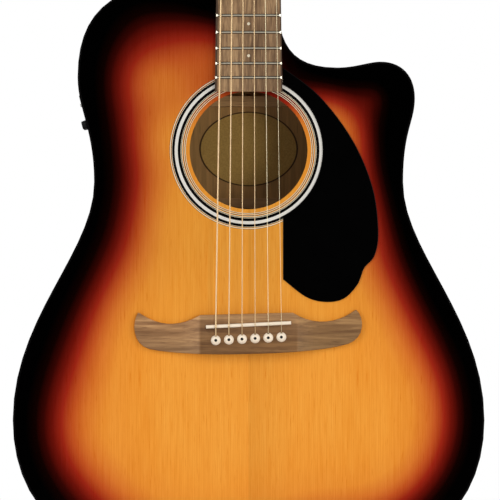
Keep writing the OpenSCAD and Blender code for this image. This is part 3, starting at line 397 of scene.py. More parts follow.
# Rosette
# Plastic rings let into the spruce round the soundhole and levelled with it: a wide white one
# between two black ones, with thin cream and black lines on both sides.
CLOUD_SCALE, CLOUD_POLISH, CLOUD_TONE = 55.0, 0.1, 0.16
moulded, given, gives = new_effect(
    "moulded_skin", [("Polish", "Float", 0.2), ("Scale", "Float", 900.0)],
    [("Roughness", "Float"), ("Height", "Float"), ("Tone", "Float")])
cloud = noise(moulded, spot(moulded), CLOUD_SCALE, 5.0)
moulded.links.new(calc(moulded, "MULTIPLY_ADD", cloud, CLOUD_POLISH, given["Polish"]), gives["Roughness"])
moulded.links.new(noise(moulded, spot(moulded), given["Scale"], 3.0), gives["Height"])
moulded.links.new(calc(moulded, "MULTIPLY_ADD", cloud, CLOUD_TONE, 1.0 - CLOUD_TONE / 2), gives["Tone"])


def plastic(name, colour, polish, depth, scale=900.0, **sockets):
    """Moulded plastic of one colour, clouded a little, with a skin of that depth."""
    tree, shader = new_finish(name, **sockets)
    skin = effect(tree, moulded, Polish=polish, Scale=scale)
    clouded = blend(tree, "MULTIPLY", 1.0, paint(*colour), grey(tree, skin["Tone"]))
    feed(tree, shader, Base_Color=clouded, Roughness=skin["Roughness"])
    relief(tree, shader, skin["Height"], depth)
    return tree


def lay_over(tree, mask, colour):
    """Lays another colour over a finish where a mask is 1."""
    base = tree.nodes["Principled BSDF"].inputs["Base Color"]
    tree.links.new(blend(tree, "MIX", mask, base.links[0].from_socket, paint(*colour)), base)


HOLE_Z = 373.8 * MM
WIDE_FROM, WIDE_TO = 57.6 * MM, 64.9 * MM
ROSETTE = [  # node, finish, colour of the wide rings and of the thin lines
    ("rosette_light", "rosette_white", (222, 218, 209), (243, 228, 196)),
    ("rosette_dark", "rosette_black", (10, 9, 9), (10, 7, 5)),
]
for name, finish, wide_colour, line_colour in ROSETTE:
    tree = plastic(finish, wide_colour, polish=0.16, depth=0.003 * MM, Specular_IOR_Level=0.2)
    x, y, z = split(tree, spot(tree))
    from_hole = add(tree, "CombineXYZ", {0: x, 2: calc(tree, "SUBTRACT", z, HOLE_Z)}).outputs[0]
    radius = length(tree, from_hole)
    inner, outer = calc(tree, "LESS_THAN", radius, WIDE_FROM), calc(tree, "GREATER_THAN", radius, WIDE_TO)
    lay_over(tree, calc(tree, "MAXIMUM", inner, outer), line_colour)
    dress(tree, name)


# Back, sides and binding
# Thin wood bent over a hot iron and closed by a back of two mirrored halves. Outside it is stained
# black to dark brown under gloss, inside it is bare. Black plastic strips are let in along both edges.
def deeper(colour, share):
    """A colour with a share of its light."""
    return tuple(channel * share for channel in colour)


def weighed(tree, first, share, second, other):
    """The sum of two values, each times its share."""
    return calc(tree, "MULTIPLY_ADD", first, share, calc(tree, "MULTIPLY", second, other))


SHELL_COAT, BARE_ROUGH = 0.25, 0.75


def shell(name, light_stain, dark_stain, inner, inward):
    """Stained wood under gloss outside and bare wood inside; inward gives 1 on the inner faces."""
    tree, shader = new_finish(name, Specular_IOR_Level=0.35, Coat_Roughness=0.04)
    inside = inward(tree)
    wood = effect(tree, grain, Vector=halves(tree), Lines=260.0, Stretch=0.03)
    lines = weighed(tree, wood["Grain"], 0.8, wood["Pores"], -0.25)
    bare = ramp(tree, lines, (0.2, deeper(inner, 0.72)), (0.7, inner))
    clouds = weighed(tree, wood["Grain"], 0.6, wood["Figure"], 0.4)
    stained = ramp(tree, clouds, (0.38, dark_stain), (0.62, light_stain))
    skin = effect(tree, lacquer, Polish=0.07, Haze=0.08)
    feed(tree, shader, Base_Color=blend(tree, "MIX", inside, stained, bare),
         Roughness=calc(tree, "MAXIMUM", skin["Roughness"], calc(tree, "MULTIPLY", inside, BARE_ROUGH)),
         Coat_Weight=calc(tree, "MULTIPLY_ADD", inside, -SHELL_COAT, SHELL_COAT))
    relief(tree, shader, skin["Height"], 0.006 * MM)
    return tree


def faces_front(tree):
    """1 on faces that look at the soundboard, 0 on the rest."""
    return fade(tree, split(tree, facing(tree))[1], -TURNED_FROM, -TURNED_FULL)


WAIST = (0.0, 0.0, 0.3)
LEVEL = (1.0, 0.0, 1.0)
INWARD_FROM, INWARD_FULL = -4.0 * MM, -10.0 * MM


def faces_middle(tree):
    """1 on faces that look at the middle of the waist, 0 on the rest."""
    from_waist = add(tree, "VectorMath", {0: spot(tree), 1: WAIST}, operation="SUBTRACT").outputs[0]
    outward = add(tree, "VectorMath", {0: from_waist, 1: LEVEL}, operation="MULTIPLY").outputs[0]
    away = add(tree, "VectorMath", {0: outward, 1: facing(tree)}, operation="DOT_PRODUCT").outputs["Value"]
    return fade(tree, away, INWARD_FROM, INWARD_FULL)


dress(shell("back_lacquer", (38, 20, 13), (9, 6, 5), (220, 168, 102), faces_front), "back_plate")
dress(shell("side_lacquer", (11, 8, 7), (6, 5, 5), (190, 146, 100), faces_middle), "side_bass", "side_treble")
binding = plastic("binding_black", (9, 8, 8), polish=0.1, depth=0.003 * MM, Specular_IOR_Level=0.25)
dress(binding, "top_binding", "back_binding")


def new_modifier(name):
    """A geometry node group to use as a modifier, with its incoming and its outgoing geometry."""
    group = bpy.data.node_groups.new(name, "GeometryNodeTree")
    for way in ("INPUT", "OUTPUT"):
        group.interface.new_socket("Geometry", in_out=way, socket_type="NodeSocketGeometry")
    group.is_modifier = True
    return group, group.nodes.new("NodeGroupInput").outputs[0], group.nodes.new("NodeGroupOutput").inputs[0]


def sharper(tree, degrees):
    """1 on edges that are sharper than an angle, 0 on the rest."""
    fold = add(tree, "GeometryNodeInputMeshEdgeAngle").outputs["Unsigned Angle"]
    return calc(tree, "GREATER_THAN", fold, math.radians(degrees))


WELD = 0.002 * MM
CREASE = 32.0  # degrees
even, begin, end = new_modifier("even_shading")
merged = add(even, "GeometryNodeMergeByDistance", {"Geometry": begin, "Distance": WELD}).outputs[0]
plain = add(even, "GeometryNodeRemoveAttribute", {"Geometry": merged, "Name": "custom_normal"}).outputs[0]
curved = add(even, "GeometryNodeSetShadeSmooth", {"Geometry": plain}).outputs[0]
creases = {"Geometry": curved, "Selection": sharper(even, CREASE), "Shade Smooth": False}
even.links.new(add(even, "GeometryNodeSetShadeSmooth", creases, domain="EDGE").outputs[0], end)


def shade_evenly(*names):
    """Lets the curved faces of CAD nodes run on smoothly from facet to facet."""
    for name in names:
        nodes[name].modifiers.new("even_shading", "NODES").node_group = even


shade_evenly("side_bass", "side_treble", "top_binding", "back_binding", "back_plate")


# Braces, linings and blocks
# Bare wood glued inside the box: spruce bars under the top, cedar ones across the back, kerfed
# linings round the edges, mahogany blocks at the neck and the tail, and a maple plate for the pins.
PORE_BROWN, PORE_SHARE = (110, 84, 62), 0.55
ROUGH_SWING = 0.16


def along_grain(tree, order, x, y, z):
    """Turns the axes so that the grain runs along the last in the order."""
    axes = {"X": x, "Y": y, "Z": z}
    return add(tree, "CombineXYZ", {k: axes[axis] for k, axis in enumerate(order)}).outputs[0]


def bare_wood(name, light_tone, dark_tone, order, lines, stretch=0.03, rough=0.72, depth=0.02 * MM,
              **sockets):
    """Planed wood, with its grain along the last axis of the order."""
    tree, shader = new_finish(name, **sockets)
    along = along_grain(tree, order, *split(tree, spot(tree)))
    wood = effect(tree, grain, Vector=along, Lines=lines, Stretch=stretch)
    clouds = weighed(tree, wood["Grain"], 0.75, wood["Figure"], 0.35)
    toned = ramp(tree, clouds, (0.36, dark_tone), (0.74, light_tone))
    pores = calc(tree, "MULTIPLY", wood["Pores"], PORE_SHARE)
    feed(tree, shader, Base_Color=blend(tree, "MULTIPLY", pores, toned, paint(*PORE_BROWN)),
         Roughness=calc(tree, "MULTIPLY_ADD", wood["Grain"], ROUGH_SWING, rough - ROUGH_SWING / 2))
    relief(tree, shader, calc(tree, "SUBTRACT", wood["Grain"], wood["Pores"]), depth)
    return tree


BRACING = [  # finish, light and dark tone, axes with the grain last, lines in a metre, nodes
    ("brace_spruce", (222, 190, 142), (186, 148, 102), "YZX", 420.0, ["top_braces", "x_braces"]),
    ("brace_cedar", (208, 162, 108), (170, 126, 80), "YZX", 420.0, ["back_braces"]),
    ("lining_spruce", (214, 178, 130), (172, 132, 88), "XZY", 420.0, ["linings"]),
    ("block_mahogany", (168, 112, 76), (118, 72, 46), "XYZ", 300.0, ["neck_block", "tail_block"]),
    ("plate_maple", (220, 188, 146), (190, 154, 110), "YZX", 240.0, ["bridge_plate"]),
]
for finish, light_tone, dark_tone, order, lines, names in BRACING:
    dress(bare_wood(finish, light_tone, dark_tone, order, lines), *names)


# Label
# A plain oval of brown paper glued to the back under the soundhole, with a printed
# border line.
LABEL_HALF, LABEL_HIGH = 43.0 * MM, 32.5 * MM
LABEL_Z = (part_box("label")[0].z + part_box("label")[1].z) / 2
PAPER_LIGHT, PAPER_DARK, PAPER_PRINT = (204, 164, 90), (188, 148, 78), (84, 58, 34)
BORDER_AT, BORDER_FULL, BORDER_GONE = 0.985, 0.014, 0.024
FIBRE_SCALE = 700.0
tree, shader = new_finish("label_paper", Roughness=0.85)
x, y, z = split(tree, spot(tree))
oval_x = calc(tree, "DIVIDE", x, LABEL_HALF)
oval_z = calc(tree, "DIVIDE", calc(tree, "SUBTRACT", z, LABEL_Z), LABEL_HIGH)
oval = length(tree, add(tree, "CombineXYZ", {0: oval_x, 1: oval_z}).outputs[0])
from_line = calc(tree, "ABSOLUTE", calc(tree, "SUBTRACT", oval, BORDER_AT))
border = fade(tree, from_line, BORDER_FULL, BORDER_GONE, 1.0, 0.0)
fibre = noise(tree, spot(tree), FIBRE_SCALE, 6.0)
paper = ramp(tree, fibre, (0.35, PAPER_DARK), (0.65, PAPER_LIGHT))
feed(tree, shader, Base_Color=blend(tree, "MIX", border, paper, paint(*PAPER_PRINT)))
relief(tree, shader, fibre, 0.01 * MM)
dress(tree, "label")


# Pickguard
# A sheet of black plastic with a bevelled edge, stuck on beside the soundhole and over the
# outer rosette rings.
FLAT_WITHIN = 0.6  # degrees


def soften(width, angle, *names, segments=3, marks=None):
    """Rounds the edges of CAD nodes that are sharper than the angle, or that a modifier marks."""
    for name in names:
        stack = nodes[name].modifiers
        stack.new("weld", "WELD").merge_threshold = WELD
        planes = stack.new("planes", "DECIMATE")
        planes.decimate_type = "DISSOLVE"
        planes.angle_limit = math.radians(FLAT_WITHIN)
        if marks:
            stack.new("marks", "NODES").node_group = marks
        edges = stack.new("edges", "BEVEL")
        edges.width, edges.segments = width, segments
        edges.limit_method = "WEIGHT" if marks else "ANGLE"
        edges.angle_limit = math.radians(angle)
        edges.use_clamp_overlap = False
        edges.miter_outer = "MITER_ARC"


soften(0.35 * MM, 50.0, "pickguard")
dress(plastic("guard_black", (2, 2, 2), polish=0.07, depth=0.002 * MM, Specular_IOR_Level=0.18), "pickguard")


# Bridge
# One piece of oiled walnut glued to the top, its wings thinned and swept up to a point. The
# grain runs across the guitar, and the raised middle keeps a darker, open-pored face.
FLAT_SAWN = 0.3
WALNUT_PORE, WALNUT_PORE_SHARE = (128, 100, 80), 0.5
WALNUT_POLISH, WALNUT_HAZE = 0.4, 0.2


def walnut(name, order, light_tone, dark_tone, lines, stretch, tone_and_shade):
    """Oiled walnut, with its grain along the last axis of the order; the last argument tones it further and
    paints light and shade on it.
    """
    tree, shader = new_finish(name, Specular_IOR_Level=0.3)
    x, y, z = split(tree, spot(tree))
    along = along_grain(tree, order, x, calc(tree, "MULTIPLY", y, FLAT_SAWN), z)
    wood = effect(tree, grain, Vector=along, Lines=lines, Stretch=stretch)
    clouds = weighed(tree, wood["Grain"], 0.55, wood["Figure"], 0.5)
    middle_tone = [(light + dark) / 2 for light, dark in zip(light_tone, dark_tone)]
    toned = ramp(tree, clouds, (0.38, dark_tone), (0.52, middle_tone), (0.64, light_tone))
    pores = calc(tree, "MULTIPLY", wood["Pores"], WALNUT_PORE_SHARE)
    toned = blend(tree, "MULTIPLY", pores, toned, paint(*WALNUT_PORE))
    feed(tree, shader, Base_Color=tone_and_shade(tree, x, z, toned),
         Roughness=calc(tree, "MULTIPLY_ADD", wood["Grain"], WALNUT_HAZE, WALNUT_POLISH))
    relief(tree, shader, calc(tree, "SUBTRACT", wood["Grain"], wood["Pores"]), 0.03 * MM)
    return tree


BLOCK_HALF, BLOCK_FADE = 41.5 * MM, 1.2 * MM
BLOCK_LOW, BLOCK_HIGH = 210.0 * MM, 232.0 * MM
BLOCK_IN, BLOCK_OUT = BLOCK_HALF - BLOCK_FADE, BLOCK_HALF + BLOCK_FADE
BLOCK_OIL, BLOCK_DRY, TREBLE_OIL = (186, 175, 158), 0.1, (206, 203, 192)
# Span of the wings, from a painted shade at their foot to a painted sheen at their top
WING_LOW, WING_HIGH = 206.0 * MM, 228.0 * MM
WING_FOOT_SHADE, WING_TOP_SHEEN = -0.14, 0.36


def oiled_block_and_sheen(tree, x, z, toned):
    """Darkens the middle, most of all at the pins, and the treble wing; paints shade at the foot of the wings
    and a sheen at their top.
    """
    middle = fade(tree, calc(tree, "ABSOLUTE", x), BLOCK_IN, BLOCK_OUT, 1.0, 0.0)
    oiled = fade(tree, z, BLOCK_LOW, BLOCK_HIGH, 1.0, BLOCK_DRY)
    toned = blend(tree, "MULTIPLY", calc(tree, "MULTIPLY", middle, oiled), toned, paint(*BLOCK_OIL))
    toned = blend(tree, "MULTIPLY", fade(tree, x, BLOCK_IN, BLOCK_OUT), toned, paint(*TREBLE_OIL))
    # Painted shade low on the wings and a painted sheen high on them, where the rounded wood catches the light
    wing_sheen = fade(tree, z, WING_LOW, WING_HIGH, WING_FOOT_SHADE, WING_TOP_SHEEN)
    lift = calc(tree, "MULTIPLY_ADD", wing_sheen, calc(tree, "SUBTRACT", 1.0, middle), 1.0)
    return blend(tree, "MULTIPLY", 1.0, toned, grey(tree, lift))


soften(0.7 * MM, 40.0, "bridge")
bridge_walnut = walnut("bridge_walnut", "YZX", (190, 147, 100), (114, 79, 49), lines=330.0, stretch=0.06,
                       tone_and_shade=oiled_block_and_sheen)
dress(bridge_walnut, "bridge")


# Saddle, pickup strip and pins
# The saddle is white plastic with a round crown, dropped into a slanted slot on a thin piezo
# strip. Six turned white pins with black dots hold the strings in their holes.
bone = plastic("bone_white", (247, 231, 207), polish=0.22, depth=0.004 * MM, Specular_IOR_Level=0.4)
dress(bone, "saddle", "bridge_pins")


RUB_SCALE, RUB_TONE = 260.0, 0.95


def mottled(tree, mask, colour, share):
    """A colour that sinks to a share of its light where a mask is low."""
    return ramp(tree, mask, (0.3, deeper(colour, share)), (0.7, colour))


def plating(name, colour, polish, haze=0.08):
    """Bare or plated metal with fine polishing marks."""
    tree, shader = new_finish(name, Metallic=1.0)
    rub = noise(tree, spot(tree), RUB_SCALE, 6.0, Roughness=0.7)
    feed(tree, shader, Base_Color=mottled(tree, rub, colour, RUB_TONE),
         Roughness=calc(tree, "MULTIPLY_ADD", rub, haze, polish))
    relief(tree, shader, rub, 0.002 * MM)
    return tree


dress(plating("piezo_foil", (190, 176, 150), polish=0.3), "pickup_strip")

# Black dots in the pins; their places, and the routes of the strings, are in millimetres
STRINGS = 6
SADDLE_Z, SADDLE_SLANT = 225.976, math.tan(math.radians(2.8))
BRIDGE_T, PITCH_BRIDGE = 8.5, 11.1
PIN_BACK, PIN_HEAD = 11.7, 3.6
DOT_R, DOT_FACE_R, DOT_DEEP, DOT_SUNK = 1.2, 0.96, 0.5, 0.02
DOT_FACE, DOT_CROWN = 0.1, 0.14
PIECE_CREASE = 45.0  # degrees


def string_x(k, pitch):
    """The place of a string across the guitar."""
    return (k - (STRINGS - 1) / 2) * pitch


def lathe(mesh, profile, place, sides=24):
    """Turns a profile of (radius, rise) about the -Y axis through a place, closed at its ends."""
    rows = []
    for radius, rise in profile:
        turns = [math.tau * k / sides for k in range(sides if radius else 1)]
        rows.append([mesh.verts.new(((place[0] + radius * math.cos(turn)) * MM, (place[1] - rise) * MM,
                                     (place[2] + radius * math.sin(turn)) * MM)) for turn in turns])
    for low, high in zip(rows, rows[1:]):
        for k in range(sides):
            after = k + 1
            ring = low[k % len(low)], low[after % len(low)], high[after % len(high)], high[k % len(high)]
            mesh.faces.new(list(dict.fromkeys(ring)))


def piece(name, mesh, tree, body):
    """Makes an object of a mesh under construction and lets it ride on a CAD body."""
    bmesh.ops.recalc_face_normals(mesh, faces=mesh.faces)
    data = bpy.data.meshes.new(name)
    mesh.to_mesh(data)
    mesh.free()
    for face in data.polygons:
        face.use_smooth = True
    data.set_sharp_from_angle(angle=math.radians(PIECE_CREASE))
    data.materials.append(material_of(tree))
    made = bpy.data.objects.new(name, data)
    scene.collection.objects.link(made)
    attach(made, body)
    return made


dots = bmesh.new()
dot_profile = [(0, -DOT_DEEP), (DOT_R, -DOT_DEEP), (DOT_R, DOT_SUNK), (DOT_FACE_R, DOT_FACE), (0, DOT_CROWN)]
for k in range(STRINGS):
    pin_x = string_x(k, PITCH_BRIDGE)
    pin_y = TOP_Y - BRIDGE_T - PIN_HEAD + DOT_SUNK
    lathe(dots, dot_profile, (pin_x, pin_y, SADDLE_Z - PIN_BACK + pin_x * SADDLE_SLANT))
dot_black = plastic("dot_black", (8, 7, 7), polish=0.3, depth=0.003 * MM, Specular_IOR_Level=0.2)
piece("pin_dots", dots, dot_black, "guitar")


# Neck
# Mahogany carved to a round back, with a curved heel and a dovetail into the neck block, in
# satin lacquer. A black plastic cap closes the foot of the heel.
neck_wood = bare_wood("neck_mahogany", (142, 88, 56), (98, 56, 36), "XYZ", lines=380.0, stretch=0.02,
                      rough=0.42, depth=0.012 * MM, Specular_IOR_Level=0.4)
dress(neck_wood, "neck", "headstock")
shade_evenly("neck")
dress(binding, "heel_cap")


# Headstock
# A piece of the same mahogany scarfed on behind the nut and tilted back, faced with a thin black
# veneer under gloss. Its outline is a plain flared one.
soften(0.8 * MM, 50.0, "headstock")
soften(0.25 * MM, 50.0, "headplate")
tree, shader = new_finish("face_black", Specular_IOR_Level=0.4)
skin = effect(tree, lacquer, Polish=0.06, Haze=0.07)
wood = effect(tree, grain, Vector=spot(tree), Lines=260.0, Stretch=0.03)
feed(tree, shader, Base_Color=ramp(tree, wood["Grain"], (0.3, (7, 6, 6)), (0.7, (15, 13, 12))),
     Roughness=skin["Roughness"])
relief(tree, shader, skin["Height"], 0.005 * MM)
dress(tree, "headplate")


# Fingerboard and dots
# A crowned walnut board glued to the neck and, at its end, to the top. Its rolled long edges are
# painted darker as painted shade, and small cream dots mark the frets on the face and along the bass edge.
BOARD_END_Z, BOARD_NUT_Z = 423.51 * MM, 875.88 * MM
BOARD_END_HALF, BOARD_NUT_HALF = 28.65 * MM, 21.5 * MM
# Painted shade along the rolled long edges of the board
EDGE_SHADE_BROWN, EDGE_SHARE, EDGE_FADE = (52, 36, 26), 0.85, 0.5 * MM
EDGE_BASS, EDGE_TREBLE = 1.4 * MM, 0.9 * MM


def shaded_edges(tree, x, z, toned):
    """Paints shade along the board's two long rolled edges, more on the bass side."""
    half = fade(tree, z, BOARD_END_Z, BOARD_NUT_Z, BOARD_END_HALF, BOARD_NUT_HALF)
    from_bass, from_treble = calc(tree, "ADD", half, x), calc(tree, "SUBTRACT", half, x)
    bass = fade(tree, from_bass, EDGE_BASS, EDGE_BASS + EDGE_FADE, EDGE_SHARE, 0.0)
    treble = fade(tree, from_treble, EDGE_TREBLE, EDGE_TREBLE + EDGE_FADE, EDGE_SHARE, 0.0)
    return blend(tree, "MIX", calc(tree, "MAXIMUM", bass, treble), toned, paint(*EDGE_SHADE_BROWN))


board_walnut = walnut("board_walnut", "XYZ", (176, 142, 103), (90, 65, 44), lines=620.0, stretch=0.09,
                      tone_and_shade=shaded_edges)
dress(board_walnut, "fingerboard")
dress(plastic("dot_cream", (226, 214, 186), polish=0.25, depth=0.003 * MM), "position_dots")


# Frets and nut
# Nickel silver wire with a round crown, pressed into sawn slots; the flanks that turn from the front
# are painted dark as painted shade. A slotted bar of white plastic stands at the end of the board.
FRET_CROWN, FRET_FLANK_SHADE = (246, 236, 212), (72, 62, 50)
FLANK_FROM, FLANK_FULL = 0.2, 0.5
fret_wire = plating("fret_wire", FRET_CROWN, polish=0.26, haze=0.1)
# Painted shade: the flanks of the crown, turned from the front, take a dark colour
lean = calc(fret_wire, "ABSOLUTE", split(fret_wire, facing(fret_wire))[2])
lay_over(fret_wire, fade(fret_wire, lean, FLANK_FROM, FLANK_FULL), FRET_FLANK_SHADE)
dress(fret_wire, "frets")
shade_evenly("frets")
soften(0.3 * MM, 50.0, "nut")
dress(bone, "nut")


# Truss rod
# A steel rod in a groove under the fingerboard, with a brass nut that a key reaches through the
# soundhole.
dress(plating("rod_steel", (150, 148, 144), polish=0.3, haze=0.12), "truss_rod")
dress(plating("nut_brass", (206, 170, 98), polish=0.24, haze=0.12), "truss_nut")


# Tuners
# Six closed chrome gear boxes, each held by a bushing through the headstock and one screw. The
# key's worm turns the wheel on the string post.
chrome = plating("chrome", (197, 198, 200), polish=0.07, haze=0.07)
posts = ["tuner_post_%d" % k for k in range(1, STRINGS + 1)]
keys = ["tuner_key_%d" % k for k in range(1, STRINGS + 1)]
dress(chrome, "tuner_housings", "tuner_bushings", "tuner_screws", *posts, *keys)
soften(0.5 * MM, 60.0, "tuner_housings")
shade_evenly("tuner_bushings", "tuner_screws", *posts)

# The bevel of a key takes the rim of its button alone, and leaves shaft and worm as they are
BUTTON_FROM, BUTTON_ANGLE = 38.0 * MM, 70.0
rims, begin, end = new_modifier("button_rims")
across = split(rims, add(rims, "GeometryNodeInputPosition").outputs[0])[0]
on_button = calc(rims, "GREATER_THAN", calc(rims, "ABSOLUTE", across), BUTTON_FROM)
rim = calc(rims, "MULTIPLY", on_button, sharper(rims, BUTTON_ANGLE))
weights = {"Geometry": begin, "Name": "bevel_weight_edge", "Value": rim}
marked = add(rims, "GeometryNodeStoreNamedAttribute", weights, data_type="FLOAT", domain="EDGE").outputs[0]
rims.links.new(marked, end)
soften(1.5 * MM, BUTTON_ANGLE, *keys, segments=4, marks=rims)


# Strings
# Steel wire: the four low strings are wrapped with bronze, the two high ones are plain. Each
# runs from its ball under the bridge plate over saddle and nut, and winds twice round its post.
GAUGES = [1.35, 1.07, 0.81, 0.61, 0.41, 0.3]
PITCH_NUT = 7.1
NUT_Z, NUT_T, NUT_LIP, NUT_RISE = 875.876, 5.0, 1.0, 7.6
TOP_T, PLATE_D = 3.0, 3.0
PIN_GROOVE, PIN_EDGE = 1.75, 0.7
PIN_BEND = [(1.6, 0.0), (0.5, 0.25), (0.0, 0.9)]  # under the pin's edge, and ahead of its groove
SADDLE_H, SADDLE_CREST = 11.8, 0.6
HEAD_Z, HEAD_TILT, FACE_T = 881.876, math.radians(13.0), 1.5
POST_X, POST_FIRST, POST_STEP, WAIST_R = 24.0, 40.0, 39.0, 2.55
WIND_GAP, WIND_LOW, WIND_SPARE, WIND_TURNS, WIND_STEPS = 0.3, 5.4, 0.5, 2, 40
CORNER_CUT, CORNER_MOST, CORNER_STEPS = 0.25, 0.45, 4
WIRE_SIDES = 10
WIRE_SCALE, WIRE_TONE, WIRE_POLISH, WIRE_HAZE = 140.0, 0.96, 0.36, 0.06
WAVE_RUN = 20.0  # radians that a wave texture of scale 1 runs through in a metre


def on_head(across, out, up):
    """A point of the tilted headstock in the guitar's frame."""
    cos, sin = math.cos(HEAD_TILT), math.sin(HEAD_TILT)
    return Vector((across, TOP_Y + out * cos + up * sin, HEAD_Z - out * sin + up * cos))


def rounded(points):
    """Cuts each corner of a path with a short curve."""
    made = [points[0]]
    for before, corner, after in zip(points, points[1:], points[2:]):
        a = corner + (before - corner) * min(CORNER_MOST, CORNER_CUT / (before - corner).length)
        b = corner + (after - corner) * min(CORNER_MOST, CORNER_CUT / (after - corner).length)
        shares = [k / CORNER_STEPS for k in range(CORNER_STEPS + 1)]
        made += [a.lerp(corner, share).lerp(corner.lerp(b, share), share) for share in shares]
    return made + [points[-1]]


def string_path(k):
    """The run of one string: ball, pin, saddle, nut, turns on the post, cut end."""
    r = GAUGES[k] / 2
    x, nut_x = string_x(k, PITCH_BRIDGE), string_x(k, PITCH_NUT)
    saddle_y, saddle_z = TOP_Y - SADDLE_H - r, SADDLE_Z + x * SADDLE_SLANT
    edge_y, pin_z = TOP_Y - BRIDGE_T - PIN_EDGE - r, saddle_z - PIN_BACK + PIN_GROOVE
    nut_y, nut_back = TOP_Y - NUT_RISE - r, NUT_Z + NUT_T
    run = [(x, TOP_Y + TOP_T + PLATE_D, pin_z)]
    run += [(x, edge_y + under, pin_z + ahead) for under, ahead in PIN_BEND]
    run += [(x, saddle_y, saddle_z - SADDLE_CREST), (x, saddle_y, saddle_z + SADDLE_CREST)]
    run += [(nut_x, nut_y, NUT_Z), (nut_x, nut_y, nut_back - NUT_LIP)]
    bass = k < STRINGS / 2
    side = -1 if bass else 1
    post_z = POST_FIRST + POST_STEP * (k if bass else STRINGS - 1 - k)
    wind_r = WAIST_R + WIND_GAP + r
    nut_on_head = -NUT_RISE * math.sin(HEAD_TILT) + (nut_back - HEAD_Z) * math.cos(HEAD_TILT)
    across, up = POST_X - side * nut_x, nut_on_head - post_z
    start = math.atan2(up, across) + math.acos(wind_r / math.hypot(across, up))
    turns = []
    for step in range(WIND_TURNS * WIND_STEPS + 1):
        done = step / WIND_STEPS
        a = start + math.tau * done
        out = -FACE_T - WIND_LOW - r - (GAUGES[k] + WIND_SPARE) * done
        turns.append(on_head(side * (POST_X - wind_r * math.cos(a)), out, post_z + wind_r * math.sin(a)))
    tail = turns[-1] + (turns[-1] - turns[-2]).normalized() * 2 * GAUGES[k]
    return rounded([Vector(p) for p in run] + turns[:1])[:-1] + turns + [tail]


def tube(mesh, path, radius):
    """A closed round tube along a path, carried without twist."""
    rows, across = [], Vector((1.0, 0.0, 0.0))
    turns = [math.tau * j / WIRE_SIDES for j in range(WIRE_SIDES)]
    for k, p in enumerate(path):
        ahead = (path[min(k + 1, len(path) - 1)] - path[max(k - 1, 0)]).normalized()
        across = (across - ahead * across.dot(ahead)).normalized()
        over = ahead.cross(across)
        rows.append([mesh.verts.new((p + radius * (math.cos(turn) * across + math.sin(turn) * over)) * MM)
                     for turn in turns])
    for low, high in zip(rows, rows[1:]):
        for j in range(WIRE_SIDES):
            mesh.faces.new((low[j - 1], low[j], high[j], high[j - 1]))
    mesh.faces.new(rows[0][::-1])
    mesh.faces.new(rows[-1])


def wire(name, colour, wrap):
    """String wire; wrap is the number of turns of the winding in a metre, or 0 for plain wire."""
    tree, shader = new_finish(name, Metallic=1.0)
    dull = noise(tree, spot(tree), WIRE_SCALE, 4.0)
    feed(tree, shader, Base_Color=mottled(tree, dull, colour, WIRE_TONE),
         Roughness=calc(tree, "MULTIPLY_ADD", dull, WIRE_HAZE, WIRE_POLISH))
    if wrap:
        ribs = {"Vector": spot(tree), "Scale": wrap * math.tau / WAVE_RUN}
        relief(tree, shader, add(tree, "TexWave", ribs, bands_direction="Z").outputs["Fac"], 0.01 * MM)
    else:
        relief(tree, shader, dull, 0.002 * MM)
    return tree


def strung(name, numbers, tree):
    """The wires of some strings as one piece."""
    mesh = bmesh.new()
    for k in numbers:
        tube(mesh, string_path(k), GAUGES[k] / 2)
    return piece(name, mesh, tree, "guitar")


bronze_wrap = wire("bronze_wrap", (233, 202, 156), wrap=2600.0)
steel_wire = wire("steel_wire", (255, 242, 202), wrap=0)
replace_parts(strung("wound_wire", range(4), bronze_wrap), "wound_strings")
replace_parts(strung("plain_wire", range(4, STRINGS), steel_wire), "plain_strings")
dress(plating("ball_brass", (210, 176, 104), polish=0.25), "ball_ends")
shade_evenly("ball_ends")


# Preamp
# A moulded black panel let into the bass side, with three turned knobs, the push button of the
# tuner and a hinged door over the battery. Its case hangs inside the box.
panel = plastic("panel_black", (24, 24, 25), polish=0.45, depth=0.02 * MM, scale=1500.0,
                Specular_IOR_Level=0.4)
dress(panel, "preamp_panel", "preamp_case", "battery_door")
soften(0.3 * MM, 50.0, "preamp_panel", "battery_door")
knob_black = plastic("knob_black", (7, 7, 7), polish=0.45, depth=0.012 * MM, scale=1200.0,
                     Specular_IOR_Level=0.2)
dress(knob_black, "knob_volume", "knob_bass", "knob_treble")
button_white = plastic("button_white", (214, 212, 206), polish=0.3, depth=0.004 * MM)
dress(button_white, "tuner_switch")
dress(plastic("cell_sleeve", (70, 70, 73), polish=0.35, depth=0.006 * MM), "battery")

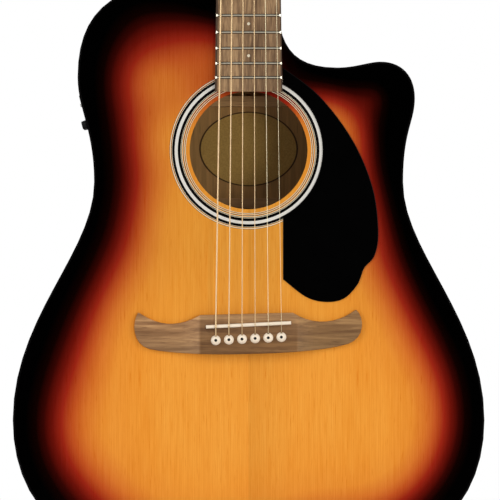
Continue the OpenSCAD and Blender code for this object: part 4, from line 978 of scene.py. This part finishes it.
# White paint: a filled pointer slot on each knob, and a printed scale round it on the panel
KNOB_RISE, KNOB_SWEEP = 4.2 * MM, 140.0
POINTER_FROM, POINTER_TO, POINTER_HALF = 1.2 * MM, 3.2 * MM, 0.3 * MM
POINTER_DEEP, POINTER_SUNK = 0.6 * MM, 0.04 * MM
TICK_COUNT, TICK_FROM, TICK_TO, TICK_HALF, TICK_T = 11, 5.0 * MM, 5.9 * MM, 0.16 * MM, 0.04 * MM
END_STEPS = 8


def bar(mesh, start, stop, out, half, low, high):
    """A flat bar with round ends from start to stop, between two heights along out."""
    ahead = (stop - start).normalized()
    across = out.cross(ahead)
    outline = []
    for centre, first in ((stop, -90.0), (start, 90.0)):
        for turn in (math.radians(first + 180.0 * k / END_STEPS) for k in range(END_STEPS + 1)):
            outline.append(centre + half * (math.cos(turn) * ahead + math.sin(turn) * across))
    foot, face = ([mesh.verts.new(p + out * height) for p in outline] for height in (low, high))
    for k in range(len(outline)):
        mesh.faces.new((foot[k - 1], foot[k], face[k], face[k - 1]))
    mesh.faces.new(foot[::-1])
    mesh.faces.new(face)


scale_ticks = bmesh.new()
for knob in ("volume", "bass", "treble"):
    turning = next(j for j in frame["record"]["behaviour"]["joints"] if j["name"] == knob + "_turn")
    out, pivot = Vector(turning["axis"]), Vector(turning["pos_m"])
    up = Vector((out.z, 0.0, -out.x))
    highest = max(out.dot(corner.co) for corner in nodes["knob_" + knob].data.vertices)
    crown = pivot + out * (highest - out.dot(pivot))
    pointer = bmesh.new()
    near, far = crown + up * POINTER_FROM, crown + up * POINTER_TO
    bar(pointer, near, far, out, POINTER_HALF, -POINTER_DEEP, -POINTER_SUNK)
    piece("pointer_" + knob, pointer, button_white, "knob_" + knob)
    foot = crown - out * KNOB_RISE
    for k in range(TICK_COUNT):
        turn = math.radians(KNOB_SWEEP * (2 * k / (TICK_COUNT - 1) - 1))
        ray = math.cos(turn) * up + math.sin(turn) * out.cross(up)
        bar(scale_ticks, foot + ray * TICK_FROM, foot + ray * TICK_TO, out, TICK_HALF, -TICK_T, TICK_T)
piece("scale_ticks", scale_ticks, button_white, "guitar")


# Jack and strap pins
# Turned and chromed: a strap button screwed through the heel cap, and an end pin at the tail
# with the output jack inside it.
dress(chrome, "strap_button", "end_pin", "output_jack")
shade_evenly("strap_button", "end_pin", "output_jack")


low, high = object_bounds()
